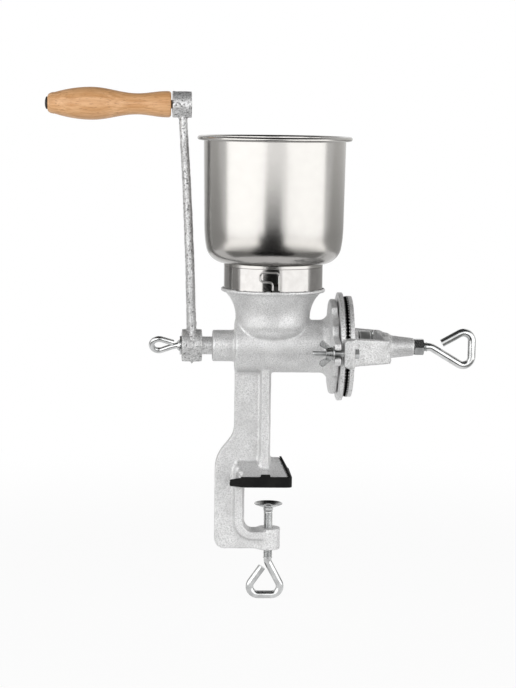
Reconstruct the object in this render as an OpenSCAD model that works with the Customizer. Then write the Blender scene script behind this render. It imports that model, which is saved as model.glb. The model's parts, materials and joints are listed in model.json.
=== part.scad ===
// Hand grain mill that clamps to the edge of a table.
// The table top is the plane Z = 0, the clamp screw turns about the Z axis and
// the main shaft lies along X, with its crank at the -X end. Millimetres.

/* [Barrel] */
// Height of the shaft's axis above the table top
shaft_z = 118; // [110:1:140]
// Left end of the barrel
barrel_x = -30.5; // [-34:0.5:-30.5]
// Length of the barrel up to the flange
barrel_len = 80.5; // [78:0.5:92]
// Outer diameter of the barrel
barrel_d = 45; // [42:0.5:50]
// Wall of the barrel
barrel_wall = 3.5; // [3:0.1:5]
// Outer diameter of the bearing boss
bearing_d = 26.8; // [24:0.2:32]
// Length of the bearing boss
bearing_len = 19; // [14:0.5:26]
// Diameter of the flange that carries the plates
flange_d = 80.8; // [78:0.2:86]
// Thickness of the flange
flange_t = 5.3; // [4.5:0.1:7]
// Radius of the hollows in the flange's edge
hollow_r = 14; // [10:0.5:18]
// Height of the ring that seats the still plate
seat_h = 1.2; // [0.8:0.1:2]

/* [Throat] */
// Place of the throat's axis along the shaft
throat_x = 1.5; // [0:0.5:4]
// Height of the throat's rim above the shaft's axis
rim_h = 50; // [47:0.5:60]
// Outer diameter of the throat's waist
waist_d = 63; // [58:0.5:66]
// Height of the top of the straight waist above the shaft's axis
waist_h = 24.7; // [22:0.1:27]
// Wall of the throat
throat_wall = 4; // [3:0.1:5]
// Height of the rounded bead round the rim
bead_h = 3.4; // [3:0.1:4.5]
// Wall left outside the seat of the hopper's neck
bead_wall = 2.2; // [1.6:0.1:3]

/* [Hopper] */
// Outer diameter of the hopper's neck
neck_d = 83.8; // [80:0.2:90]
// Height of the neck
neck_h = 21; // [18:0.5:28]
// Thickness of the steel sheet
sheet_t = 1; // [0.8:0.1:1.4]
// Outer diameter of the bowl above its rounded bottom
bowl_d = 114; // [106:0.5:122]
// Outer diameter of the bowl below its rim
bowl_top_d = 119.8; // [119:0.2:128]
// Height of the bowl from the neck to the rim's middle
bowl_h = 107; // [80:1:130]
// Radius of the bowl's rounded bottom
bowl_r = 24; // [20:0.5:26]
// Height of the rolled rim
roll_d = 3.8; // [3:0.1:5]
// Width of the rolled rim
roll_w = 6.4; // [5.2:0.1:8]
// Width of the slot in the neck
slot_w = 5.2; // [4:0.1:7]
// Reach of the slot's cross cut, over its whole width
slot_reach = 16; // [12:0.5:20]
// Height of the slot's cross cut
slot_cross_h = 8.4; // [6:0.2:9]

/* [Leg and clamp] */
// Left edge of the upper leg
leg_x = -30; // [-30:0.5:-26]
// Thickness of the leg's web
web_t = 10; // [8:0.5:12]
// Left edge of the clamp frame
frame_x = -46.2; // [-55:0.2:-42]
// Clear depth of the clamp behind the screw's axis
clamp_depth = 20.5; // [19:0.5:24]
// Height of the clamp frame's opening below the table top
clamp_open = 38.7; // [37:0.1:55]
// Height of the clamp boss
boss_h = 18.5; // [14:0.5:22]
// Diameter of the clamp boss
boss_d = 20.8; // [18:0.2:26]
// Width of the ribs along the leg and the clamp frame
rib_w = 8.6; // [7:0.2:10]
// Depth of the ribs from front to back
rib_depth = 22; // [18:0.5:24]
// Slope of a rib's open side, from the middle to the face
rib_draft = 2.1; // [1:0.1:3]
// Depth of the jaw from front to back
jaw_depth = 44.6; // [40:0.2:52]
// Reach of the jaw to the right of the clamp screw's axis
jaw_reach = 16; // [13:0.5:22]
// Height of the jaw's ridge above the table top
jaw_top = 23.5; // [20:0.5:28]
// Lean of the jaw's right end, in degrees
jaw_lean = 27; // [0:1:35]
// Thickness of the rubber under the jaw
pad_t = 2.8; // [2:0.1:4]
// Height of the rubber's lip
pad_lip = 9; // [7:0.1:10]
// Wall of the rubber's lip
pad_wall = 1.8; // [1.4:0.1:3]

/* [Clamp screw] */
// Diameter of the clamp screw and the adjusting screw
screw_d = 8; // [7:0.5:10]
// Diameter of the rod that the screws' loops are bent from
wire_d = 6.8; // [5.5:0.1:7]
// Height of the gap between the cup and the table top
cup_gap = 17.5; // [14:0.1:22]
// Diameter of the cup
cup_d = 24.3; // [20:0.1:30]
// Height of the cup
cup_h = 6; // [5:0.1:8]
// Length of thread that shows below the clamp boss
thread_left = 8.1; // [6:0.1:14]
// Height of the clamp screw's loop
loop_h = 32.4; // [30:0.2:42]
// Width of the clamp screw's loop
loop_w = 37.4; // [33:0.2:46]
// Reach of the adjusting screw's loop along the shaft
key_reach = 38.5; // [36:0.5:48]
// Height of the adjusting screw's loop
key_h = 38.4; // [34:0.2:46]

/* [Shaft and worm] */
// Diameter of the shaft in its bearing
journal_d = 15.2; // [13:0.1:17]
// Diameter of the worm's core
worm_core_d = 17; // [15.5:0.1:20]
// Pitch of the worm
worm_pitch = 24; // [18:1:32]
// Width of the square that drives the turning plate
square_w = 11; // [9.5:0.1:12]
// Diameter of the shaft's right end
tail_d = 12; // [11.5:0.1:14]
// Length of the shaft between the bearing and the crank
shaft_gap = 8.8; // [6:0.1:14]

/* [Plates] */
// Diameter of the still plate
still_d = 92; // [90:0.5:98]
// Diameter of the turning plate
turning_d = 86; // [80:0.5:86.5]
// Thickness of a plate without its teeth
plate_t = 3.8; // [3:0.1:5]
// Height of the teeth
tooth_h = 1.5; // [0.8:0.1:1.8]
// Gap between the plates' teeth
grind_gap = 1; // [0.9:0.1:2]
// Fine teeth round each plate
fine_teeth = 84; // [48:4:96]
// Coarse teeth near each plate's middle
coarse_teeth = 18; // [10:1:24]
// Diameter of the still plate's feed hole
feed_d = 36; // [32:0.5:38]
// Diameter of the turning plate's hub and the collar behind it
hub_d = 27; // [24:0.5:32]
// Length of the turning plate's hub
hub_len = 6; // [4:0.1:9]
// Length of the collar
collar_len = 9.4; // [7:0.1:12]
// Diameter of the cotter pin
cotter_d = 3; // [2.5:0.1:4]

/* [Yoke] */
// Distance between the two bolts
bolt_span = 105; // [104:0.5:112]
// Diameter of the bolts
bolt_d = 5; // [4:0.1:6]
// Width of the slots in the flange's ears
ear_slot_w = 6.4; // [6.2:0.1:8]
// Height of the yoke's lugs
lug_h = 23.4; // [20:0.2:28]
// Thickness of the yoke's lugs along the shaft
lug_t = 9; // [8:0.1:12]
// Thickness of the yoke's arms
arm_t = 6.5; // [5:0.1:8]
// Wall between the arms, along the shaft
bridge_t = 6; // [5:0.1:9]
// Length of the nose that holds the adjusting screw
nose_len = 22.4; // [16:0.2:28]
// Diameter of the nose at its end
nose_d = 15; // [13:0.2:18]
// Diameter of the steel ball at the shaft's end
ball_d = 8; // [7:0.1:8]
// Width of the lock nut across its flats
nut_af = 13; // [13:0.5:17]
// Thickness of the lock nut
nut_t = 8; // [5:0.1:9]

/* [Crank] */
// Distance from the shaft's axis to the handle's axis
crank_r = 203; // [160:1:240]
// Diameter of the crank's lower boss
crank_boss_d = 27.4; // [25:0.2:32]
// Length of the crank's lower boss
crank_boss_len = 17; // [14:0.5:22]
// Diameter of the crank's upper boss
grip_boss_d = 22; // [18:0.2:26]
// Length of the crank's upper boss
grip_boss_len = 16.1; // [12:0.1:20]
// How far the upper boss stands out to the left of the lower one
crank_lean = 10.4; // [4:0.2:14]
// Width of the crank's arm at its foot
arm_w = 8.3; // [7:0.1:11]
// Depth of the crank's arm at its foot
arm_depth = 16; // [13:0.5:19]
// Length of the wooden handle
handle_len = 103; // [85:1:125]
// Largest diameter of the wooden handle
handle_d = 27.4; // [24:0.2:34]
// Diameter of the handle's waist
handle_waist_d = 17.6; // [15:0.2:22]
// Diameter of the handle's spindle
spindle_d = 5; // [4:0.1:7]
// Diameter of the crank's thumb screw
thumb_d = 6; // [5:0.1:7]
// Diameter of the rod that the thumb screw's eye is bent from
eye_wire_d = 5; // [4:0.1:5]

/* [Hidden] */
$fn = 64;

// Clearances: a turning fit, a fit of still pieces and a seat
run = 0.05;
snug = 0.03;
seat = 0.2;
// Overlap of shapes that are joined or cut
eps = 0.5;

// Colours
tinned_iron = [0.80, 0.80, 0.79];
plate_iron = [0.70, 0.70, 0.69];
zinc = [0.74, 0.74, 0.73];
polished_steel = [0.86, 0.86, 0.85];
satin_steel = [0.72, 0.71, 0.69];
beech = [0.87, 0.70, 0.49];
black_rubber = [0.08, 0.08, 0.08];

// Places along the shaft, from the bearing to the flange
bearing_x = barrel_x - bearing_len;
flange_x = barrel_x + barrel_len;
face_x = flange_x + flange_t;
seat_x = face_x + seat_h;
bore_r = barrel_d / 2 - barrel_wall;
bore_x = barrel_x + 2.5;

// Places along the shaft, from the plates to the ball
still_face_x = seat_x + plate_t;
turning_x = still_face_x + 2 * tooth_h + grind_gap;
turning_back_x = turning_x + plate_t;
hub_x = turning_back_x + hub_len;
collar_x = hub_x + 1.4;
cotter_x = collar_x + collar_len + seat + cotter_d / 2;
tail_x = cotter_x + cotter_d / 2 + 3;
ball_x = tail_x + ball_d / 4;
tip_x = ball_x + ball_d / 2 + run;

// The shaft's travel, which the adjusting screw sets
shaft_in = 0.8;
shaft_out = 1.5;

// Yoke
bolt_y = bolt_span / 2;
bolt_af = 1.6 * bolt_d;
hook_y = turning_d / 2 + 0.4;
lug_x = seat_x + 1.5;
lug_back_x = lug_x + lug_t;
lug_out_y = bolt_y + 6;
arm_x = max(turning_back_x + shaft_out + 0.7, lug_back_x + 1);
arm_y = hook_y + 3.4;
bridge_x = tail_x + shaft_out + 1.5;
bridge_back_x = bridge_x + bridge_t;
nose_x = bridge_back_x + nose_len;
nose_foot_d = nose_d + 4.4;

// Throat, measured up from the shaft's axis
waist_r = waist_d / 2;
neck_r = neck_d / 2;
rabbet_r = neck_r + 0.3;
rabbet_h = 2.8;
rim_r = rabbet_r + bead_wall;
saddle_h = 8.2;
saddle_r = waist_h - saddle_h - 4.5;
flare_dx = rim_r - bead_h - waist_r;
flare_dz = rim_h - bead_h - waist_h;
flare_r = (flare_dx * flare_dx + flare_dz * flare_dz) / (2 * flare_dx);

// Hopper, measured up from the table top
neck_z = shaft_z + rim_h - rabbet_h + seat;
neck_top_z = neck_z + neck_h;
lip_h = 2.2;
bowl_z = neck_top_z + seat;
bowl_knee_r = bowl_d / 2 - bowl_r;
bowl_knee_z = bowl_z + lip_h + sqrt(pow(bowl_r, 2) - pow(neck_r - bowl_knee_r, 2));
bowl_rim_z = bowl_z + bowl_h;

// Leg and clamp
jaw_x = -clamp_depth - rib_w / 2;
jaw_base = pad_t + seat;
jaw_edge = 8;
boss_top = -clamp_open;
boss_bottom = boss_top - boss_h;
frame_bottom = boss_bottom + 0.6;
rib_corner_r = 7;
rib_x = -7.6;

// Screws
cup_top = -cup_gap;
cup_bottom = cup_top - cup_h;
cup_t = 1.6;
neck_pin_d = screw_d - 2;
thread_end = boss_bottom - thread_left;
loop_r = wire_d + 0.3;
nut_x = nose_x + seat;
loop_x = nut_x + nut_t + 3;

// Crank
crank_x = bearing_x - shaft_gap;
crank_out_x = crank_x - crank_boss_len;
grip_boss_x = crank_x - crank_lean;
grip_out_x = grip_boss_x - grip_boss_len;
handle_x = grip_out_x - 1.2;
handle_out_x = handle_x - handle_len;
grip_z = shaft_z + crank_r;
washer_t = 1.6;
thumb_washer_x = crank_out_x - seat - washer_t;
thumb_x = thumb_washer_x - 2.2;
thumb_depth = 14;

// Wing nuts
ear_washer_d = 12.6;
ear_washer_t = 1.2;
wing_x = flange_x - 2 * run - ear_washer_t;
wing_hub_len = 5.6;
bolt_end_x = wing_x - wing_hub_len - 11;

// Points along an arc of a circle, from one angle to another
function arc(c, r, a0, a1, n = 8) =
    [for (i = [0 : n]) c + r * [cos(a0 + (a1 - a0) * i / n), sin(a0 + (a1 - a0) * i / n)]];

// An angle brought between -180 and 180 degrees
function wrap(a) = a - 360 * floor((a + 180) / 360);

function unit(v) = v / norm(v);
function heading(v) = atan2(v[1], v[0]);
function xy(p) = [p[0], p[1]];

// One corner of an outline, rounded by its own radius
function corner(p, from, to, r, n) =
    let (u = unit(from - p), v = unit(to - p), half = acos(u * v) / 2,
         c = p + unit(u + v) * r / sin(half),
         a = heading(p + u * r / tan(half) - c), b = heading(p + v * r / tan(half) - c))
    arc(c, r, a, a + wrap(b - a), n);

// An outline of [x, y, radius] corners
function rounded(pts, n = 6) =
    let (last = len(pts) - 1)
    [for (i = [0 : last])
        let (p = pts[i], from = pts[i == 0 ? last : i - 1], to = pts[i == last ? 0 : i + 1])
        each (p[2] > 0 ? corner(xy(p), xy(from), xy(to), p[2], n) : [xy(p)])];

// A smooth run of radii from one station to the next, for a turned profile
function swell(x0, r0, x1, r1, n = 8) =
    [for (i = [1 : n]) [r0 + (r1 - r0) * (1 - cos(180 * i / n)) / 2, x0 + (x1 - x0) * i / n]];

// Shapes drawn along +Z from the origin, laid along the shaft instead
module along_shaft(x = 0) {
    translate([x, 0, shaft_z]) rotate([0, 90, 0]) children();
}

// An outline in X and Z, as thick as t from front to back
module upright(t) {
    rotate([90, 0, 0]) translate([0, 0, -t / 2]) linear_extrude(t) children();
}

module hexagon(af, h) {
    cylinder(d = af / cos(30), h = h, $fn = 6);
}

// A flat path whose inner corners are rounded by one bend radius
function bent_path(path, r) =
    let (last = len(path) - 1)
    [path[0], for (i = [1 : last - 1]) each corner(path[i], path[i - 1], path[i + 1], r, 7), path[last]];

// Round rod bent along a flat path
module bent_rod(path, r, d, sides = 14) {
    line = bent_path(path, r);
    last = len(line) - 1;
    rings = [for (i = [0 : last])
        let (t = unit(line[min(i + 1, last)] - line[max(i - 1, 0)]), n = [-t[1], t[0]])
        for (j = [0 : sides - 1])
            let (a = 360 * j / sides)
            [each line[i] + n * cos(a) * d / 2, sin(a) * d / 2]];
    skin = [for (i = [0 : last - 1], j = [0 : sides - 1])
        let (a = i * sides + j, b = i * sides + (j + 1) % sides)
        each [[a, b + sides, b], [a, a + sides, b + sides]]];
    caps = [[for (j = [0 : sides - 1]) j], [for (j = [sides - 1 : -1 : 0]) last * sides + j]];
    polyhedron(rings, concat(skin, caps));
}

// Body casting: bearing, barrel and a flange that thickens towards the barrel
module barrel_form() {
    r = barrel_d / 2;
    ring_r = bore_r + 15;
    along_shaft() rotate_extrude() polygon(rounded([
        [0, bearing_x, 0], [bearing_d / 2, bearing_x, 1], [bearing_d / 2, barrel_x, 1.5], [r, barrel_x, 1.5],
        [r, flange_x - 5.5, 5], [r + 5, flange_x - 1.2, 3], [flange_d / 2, flange_x, 1.2],
        [flange_d / 2, face_x, 1.2], [ring_r + 0.5, face_x, 0], [ring_r, seat_x, 0], [0, seat_x, 0]]));
}

// Hollows in the flange's edge between its lobes and its ears
module flange_hollows() {
    ring_r = bore_r + 16;
    for (a = [44, 136, 224, 316])
        along_shaft(flange_x - 9) rotate([0, 0, a]) translate([ring_r + hollow_r, 0, 0])
            cylinder(r = hollow_r, h = face_x - flange_x + 9 + eps);
}

// Forked ears that take the yoke's bolts
module ears() {
    root_h = 13;
    for (s = [-1, 1])
        along_shaft(flange_x) difference() {
            linear_extrude(flange_t) polygon(rounded([
                [-root_h, s * 34, 0], [-9.2, s * lug_out_y, 3], [9.2, s * lug_out_y, 3], [root_h, s * 34, 0]]));
            translate([0, s * bolt_y, -eps]) cylinder(d = ear_slot_w, h = flange_t + 2 * eps);
            translate([-ear_slot_w / 2, s > 0 ? bolt_y : -bolt_y - 20, -eps])
                cube([ear_slot_w, 20, flange_t + 2 * eps]);
        }
}

// Funnel-shaped throat over the barrel
module throat_form() {
    translate([throat_x, 0, shaft_z]) rotate_extrude() polygon(concat(
        [[0, saddle_h]],
        arc([waist_r - saddle_r, saddle_h + saddle_r], saddle_r, -90, 0),
        arc([waist_r + flare_r, waist_h], flare_r, 180, 180 - asin(flare_dz / flare_r)),
        arc([rim_r - bead_h / 2, rim_h - bead_h / 2], bead_h / 2, -150, 90),
        [[0, rim_h]]));
}

// Hollow of the throat, with the seat of the hopper's neck
module throat_hollow() {
    inner_r = waist_r - throat_wall;
    fillet_r = saddle_r;
    curve_r = flare_r + throat_wall;
    floor_h = rim_h - rabbet_h;
    mouth_r = waist_r + flare_r - sqrt(pow(curve_r, 2) - pow(floor_h - waist_h, 2));
    translate([throat_x, 0, shaft_z]) rotate_extrude() polygon(concat(
        [[0, 0], [inner_r - fillet_r, 0]],
        arc([inner_r - fillet_r, saddle_h + fillet_r], fillet_r, -90, 0),
        arc([waist_r + flare_r, waist_h], curve_r, 180, 180 - asin((floor_h - waist_h) / curve_r)),
        [[mouth_r, floor_h], [rabbet_r, floor_h], [rabbet_r, rim_h + eps], [0, rim_h + eps]]));
}

// Key in the throat's seat that the slot in the hopper's neck drops over
module neck_key() {
    key_w = slot_w - 1;
    key_in = neck_r - sheet_t - 0.4;
    translate([throat_x - key_w / 2, -rabbet_r - 0.6, shaft_z + rim_h - rabbet_h - eps])
        cube([key_w, rabbet_r + 0.6 - key_in, rabbet_h + eps - 0.5]);
}

// Cross-section of a drafted rib: u runs away from its open side
module rib_section() {
    h = rib_depth / 2;
    polygon([[0, 0], [rib_draft, h], [rib_w, h], [rib_w + 1.9, web_t / 2 - 0.5],
             [rib_w + 1.9, 0.5 - web_t / 2], [rib_w, -h], [rib_draft, -h]]);
}

// Rib from the leg along the jaw's top, down the clamp frame and along its arm to the boss
module clamp_rib() {
    r = rib_corner_r;
    top_r = 4;
    top_z = jaw_top - rib_w - 1.4;
    run_up = clamp_open - r + top_z - top_r;
    translate([-clamp_depth, 0, boss_top + r]) rotate([0, 0, 180]) linear_extrude(run_up) rib_section();
    translate([-clamp_depth + r, 0, boss_top + r]) rotate([90, 0, 0]) rotate([0, 0, 180])
        rotate_extrude(angle = 90) translate([r, 0]) rib_section();
    translate([-clamp_depth + r, 0, boss_top]) rotate([0, 90, 0])
        linear_extrude(clamp_depth - r - 2) rib_section();
    translate([-clamp_depth + top_r, 0, top_z - top_r]) rotate([90, 0, 0]) rotate([0, 0, 90])
        rotate_extrude(angle = 90) translate([top_r, 0]) rib_section();
    translate([-clamp_depth + top_r, 0, top_z]) mirror([0, 0, 1]) rotate([0, 90, 0])
        linear_extrude(rib_x + rib_w / 2 + clamp_depth - top_r) rib_section();
}

// Web of the leg and the clamp frame
module web_form() {
    mid_x = -clamp_depth - rib_w / 2;
    arm_mid = boss_top - rib_w / 2;
    upright(web_t) polygon(rounded([
        [leg_x, shaft_z - 8, 0], [leg_x, 43, 20], [frame_x, 23, 30],
        [frame_x, frame_bottom, 8.5], [-2, frame_bottom, 0], [-2, arm_mid, 0],
        [mid_x, arm_mid, 5], [mid_x, jaw_edge, 0], [rib_x + rib_w / 2, jaw_edge, 0],
        [rib_x + rib_w / 2, shaft_z - 8, 0]]));
}

// Rib up the leg's right side, from the jaw to the barrel
module leg_rib() {
    top = shaft_z - barrel_d / 2 + 6;
    h = rib_depth / 2 + 2;
    translate([rib_x + rib_w, 0, jaw_edge]) rotate([0, 0, 180]) linear_extrude(top - jaw_edge)
        polygon([[0, 0], [rib_draft, h], [rib_w, h], [rib_w + 1.9, 0], [rib_w, -h], [rib_draft, -h]]);
}

// Gabled outline of the jaw, grown by a margin, in Y and Z
module jaw_outline(grow = 0) {
    w = jaw_depth / 2 + grow;
    polygon(rounded([[-w, jaw_base, 0], [w, jaw_base, 0], [w, jaw_edge + grow, 2],
                     [0, jaw_top + grow, 6], [-w, jaw_edge + grow, 2]]));
}

// Small studs on the jaw's slopes and lugs in the notches of the rubber's lip
module jaw_studs() {
    slope = (jaw_top - jaw_edge) / (jaw_depth / 2);
    stud_z = jaw_edge + 4;
    stud_y = jaw_depth / 2 - 4 / slope;
    for (s = [-1, 1]) {
        translate([-clamp_depth - 4.5, s * (stud_y - 4), stud_z]) rotate([-90 * s, 0, 0]) cylinder(d = 4, h = 6.5);
        translate([rib_x + 1, s * (jaw_depth / 2 - 1.3) - 2.7, pad_lip - 2.2]) cube([rib_w - 3.6, 5.4, 3.4]);
    }
}

module along_x(x, len) {
    translate([x, 0, 0]) rotate([90, 0, 90]) linear_extrude(len) children();
}

// Jaw, its right end leaning back from the edge up to the ridge
module jaw_form() {
    difference() {
        along_x(jaw_x, jaw_reach - jaw_x) jaw_outline();
        translate([jaw_reach, -jaw_depth, jaw_edge]) rotate([0, -jaw_lean, 0]) cube([30, 2 * jaw_depth, 40]);
    }
}

module mill_body() {
    color(tinned_iron) difference() {
        union() {
            barrel_form();
            ears();
            throat_form();
            web_form();
            leg_rib();
            clamp_rib();
            jaw_form();
            jaw_studs();
            translate([0, 0, boss_bottom]) cylinder(d = boss_d, h = boss_h);
        }
        flange_hollows();
        throat_hollow();
        along_shaft(bore_x) cylinder(r = bore_r, h = seat_x - bore_x + eps);
        along_shaft(bearing_x - eps) cylinder(d = journal_d + 2 * run, h = bore_x - bearing_x + 2 * eps);
        translate([0, 0, boss_bottom - eps]) cylinder(d = screw_d + 2 * run, h = boss_h + 2 * eps);
    }
    color(tinned_iron) neck_key();
}

// Rubber tray on the jaw, forked round the clamp frame's column, with a wall over the jaw's end
module clamp_pad() {
    w = jaw_depth / 2 + pad_wall + seat;
    slot = rib_depth / 2 + 0.7;
    end_x = jaw_reach + seat + pad_wall + 0.7;
    wall_h = (jaw_top + 0.8 - jaw_edge) / cos(jaw_lean);
    color(black_rubber) difference() {
        linear_extrude(pad_lip) polygon(rounded([
            [end_x, -w, 4], [end_x, w, 4], [-clamp_depth - 1.5, w, 4], [-clamp_depth - 13.5, w - 7.5, 2],
            [-clamp_depth - 13.5, slot, 0], [-clamp_depth + 0.6, slot, 0],
            [-clamp_depth + 0.6, -slot, 0], [-clamp_depth - 13.5, -slot, 0],
            [-clamp_depth - 13.5, 7.5 - w, 2], [-clamp_depth - 1.5, -w, 4]]));
        translate([-clamp_depth - 20, -jaw_depth / 2 - seat, pad_t])
            cube([clamp_depth + 20 + jaw_reach + seat, jaw_depth + 2 * seat, jaw_top]);
        translate([rib_x, -w - eps, pad_lip - 2.6]) cube([rib_w - 1.6, 2 * w + 2 * eps, 5]);
    }
    color(black_rubber) translate([jaw_reach + seat, 0, jaw_edge]) rotate([0, -jaw_lean, 0]) along_x(0, pad_wall)
        polygon(rounded([[-jaw_depth / 2, -1.5, 0], [jaw_depth / 2, -1.5, 0], [jaw_depth / 2, 1, 1],
                         [0, wall_h, 6], [-jaw_depth / 2, 1, 1]]));
}

// Ring of radial V teeth on a plate's face, rising along +Z
module tooth_ring(r_in, r_out, count, h) {
    sunk = 0.4;
    step = 360 / count;
    ring = [for (i = [0 : count - 1], k = [0, 1], r = [r_in, r_out])
        [r * cos((i + k / 2) * step), r * sin((i + k / 2) * step), k * h]];
    base = [for (p = ring) [p[0], p[1], -sunk]];
    n = len(ring);
    m = 2 * count;
    quads = [for (i = [0 : m - 1]) let (a = 2 * i, b = 2 * ((i + 1) % m))
        each [[a + 1, a, b], [a + 1, b, b + 1], [n + a, n + a + 1, n + b + 1], [n + a, n + b + 1, n + b],
              [a, n + a, n + b], [a, n + b, b], [n + a + 1, a + 1, b + 1], [n + a + 1, b + 1, n + b + 1]]];
    polyhedron(concat(ring, base), quads);
}

// A plate's fine outer teeth and coarse inner teeth
module plate_teeth(r_in, r_out) {
    mid = r_in + 0.45 * (r_out - r_in);
    tooth_ring(mid + 0.3, r_out, fine_teeth, tooth_h);
    tooth_ring(r_in, mid - 0.3, coarse_teeth, tooth_h);
}

module stationary_plate() {
    color(plate_iron) along_shaft(seat_x) {
        difference() {
            cylinder(d = still_d, h = plate_t);
            translate([0, 0, -eps]) cylinder(d = feed_d, h = plate_t + 2 * eps);
        }
        translate([0, 0, plate_t]) plate_teeth(feed_d / 2 + 1.5, turning_d / 2 - 0.2);
    }
}

module rotating_plate() {
    color(plate_iron) along_shaft(turning_x) {
        difference() {
            union() {
                cylinder(d = turning_d, h = plate_t);
                cylinder(d = hub_d, h = hub_x - turning_x);
            }
            translate([-square_w / 2 - run, -square_w / 2 - run, -eps])
                cube([square_w + 2 * run, square_w + 2 * run, hub_x - turning_x + 2 * eps]);
        }
        rotate([180, 0, 0]) plate_teeth(feed_d / 2 + 1.5, turning_d / 2 - 0.2);
    }
}

// Yoke: its plan and its side view, each cut through the other, and a nose
module yoke_plan() {
    arm_end_y = arm_y - 4.5;
    for (s = [0, 1]) mirror([0, s, 0]) polygon(rounded([
        [lug_x, still_d / 2 + 0.4, 0], [lug_x, lug_out_y, 2], [lug_back_x, lug_out_y, 2],
        [lug_back_x, bolt_y - bolt_af / 2 - 0.4, 1], [arm_x + 4, arm_y, 2], [bridge_back_x - 2.5, arm_end_y, 4],
        [bridge_back_x, arm_end_y - 12, 3], [bridge_back_x, -1, 0], [bridge_x, -1, 0],
        [bridge_x, arm_end_y - arm_t, 3], [arm_x, arm_y - arm_t - 1, 0], [arm_x, hook_y, 0],
        [still_face_x, hook_y, 0], [still_face_x, still_d / 2 + 0.4, 0]]));
}

module yoke_side() {
    arm_h = lug_h / 2 - 0.5;
    end_h = lug_h / 2 - 2.2;
    scoop_r = 12.5;
    difference() {
        polygon(rounded([
            [lug_x, -lug_h / 2, 3], [lug_back_x, -lug_h / 2, 1], [arm_x + 2, -arm_h, 0],
            [bridge_back_x, -end_h, 2], [bridge_back_x, end_h, 2], [arm_x + 2, arm_h, 0],
            [lug_back_x, lug_h / 2, 1], [lug_x, lug_h / 2, 3]]));
        translate([bridge_back_x + scoop_r - 2.5, 0]) circle(r = scoop_r);
    }
}

module yoke() {
    color(tinned_iron) difference() {
        union() {
            intersection() {
                translate([0, 0, shaft_z - lug_h]) linear_extrude(2 * lug_h) yoke_plan();
                translate([0, 0, shaft_z]) upright(4 * bolt_y) yoke_side();
            }
            along_shaft() rotate_extrude() polygon([
                [0, bridge_x + 1], [nose_foot_d / 2 + 3, bridge_x + 1], [nose_foot_d / 2 + 2, bridge_back_x],
                [nose_foot_d / 2, bridge_back_x + 3], [nose_d / 2, nose_x - 0.8], [nose_d / 2 - 0.8, nose_x],
                [0, nose_x]]);
        }
        along_shaft(bridge_x - eps) cylinder(d = screw_d + 2 * run, h = nose_x - bridge_x + 2 * eps);
        for (s = [-1, 1])
            translate([0, s * bolt_y, 0]) along_shaft(lug_x - eps) cylinder(d = bolt_d + 0.4, h = lug_t + 2 * eps);
    }
}

module yoke_bolts() {
    color(zinc) for (s = [-1, 1]) translate([0, s * bolt_y, 0]) {
        along_shaft(bolt_end_x) cylinder(d = bolt_d, h = lug_back_x - bolt_end_x + eps);
        along_shaft(lug_back_x) hexagon(bolt_af, 0.7 * bolt_d);
    }
}

// Worm flight: a sector that swells from the core, twisted along the shaft
module worm_flight(len) {
    tip_r = bore_r - 0.6;
    half = 52;
    linear_extrude(len, twist = 360 * len / worm_pitch, slices = round(len), segments = 14)
        polygon(concat([[-2, 0]], [for (i = [-6 : 6])
            let (a = half * i / 6, r = worm_core_d / 2 - 1 + (tip_r - worm_core_d / 2 + 1) * sqrt(cos(a * 85 / half)))
            [r * cos(a), r * sin(a)]]));
}

// Worm and main shaft in one piece
module auger() {
    worm_x = bore_x + shaft_in + 0.4;
    worm_end_x = face_x - 2;
    tang_x = crank_out_x + 0.5;
    color(plate_iron) difference() {
        union() {
            along_shaft(crank_x) cylinder(d = journal_d, h = worm_x - crank_x + eps);
            along_shaft(tang_x) translate([-square_w / 2, -square_w / 2, 0])
                cube([square_w, square_w, crank_x - tang_x + eps]);
            along_shaft(worm_x) cylinder(d = worm_core_d, h = worm_end_x - worm_x);
            along_shaft(worm_x) worm_flight(worm_end_x - worm_x);
            along_shaft(worm_end_x - eps) translate([-square_w / 2, -square_w / 2, 0])
                cube([square_w, square_w, hub_x - worm_end_x + eps]);
            along_shaft(hub_x - eps) cylinder(d = tail_d - 2 * snug, h = tail_x - hub_x + eps);
        }
        translate([ball_x, 0, shaft_z]) sphere(d = ball_d + 2 * run);
        translate([cotter_x, 0, shaft_z - tail_d]) cylinder(d = cotter_d + 2 * snug, h = 2 * tail_d);
        along_shaft(tang_x - eps) cylinder(d = thumb_d + 2 * run, h = thumb_depth + eps);
    }
}

// Collar between the turning plate's hub and the cotter pin
module drive_collar() {
    color(zinc) along_shaft(collar_x) difference() {
        cylinder(d = hub_d, h = collar_len);
        translate([0, 0, -eps]) cylinder(d = tail_d, h = collar_len + 2 * eps);
    }
}

module cotter_pin() {
    eye_r = cotter_d;
    color(zinc) translate([cotter_x, 0, shaft_z]) rotate([90, 0, 90]) {
        rotate([-90, 0, 0]) translate([0, 0, -tail_d / 2 - 3]) cylinder(d = cotter_d, h = tail_d + 6.5);
        translate([0, tail_d / 2 + 2 + eye_r]) rotate_extrude() translate([eye_r, 0]) circle(d = cotter_d * 0.8);
    }
}

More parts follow.
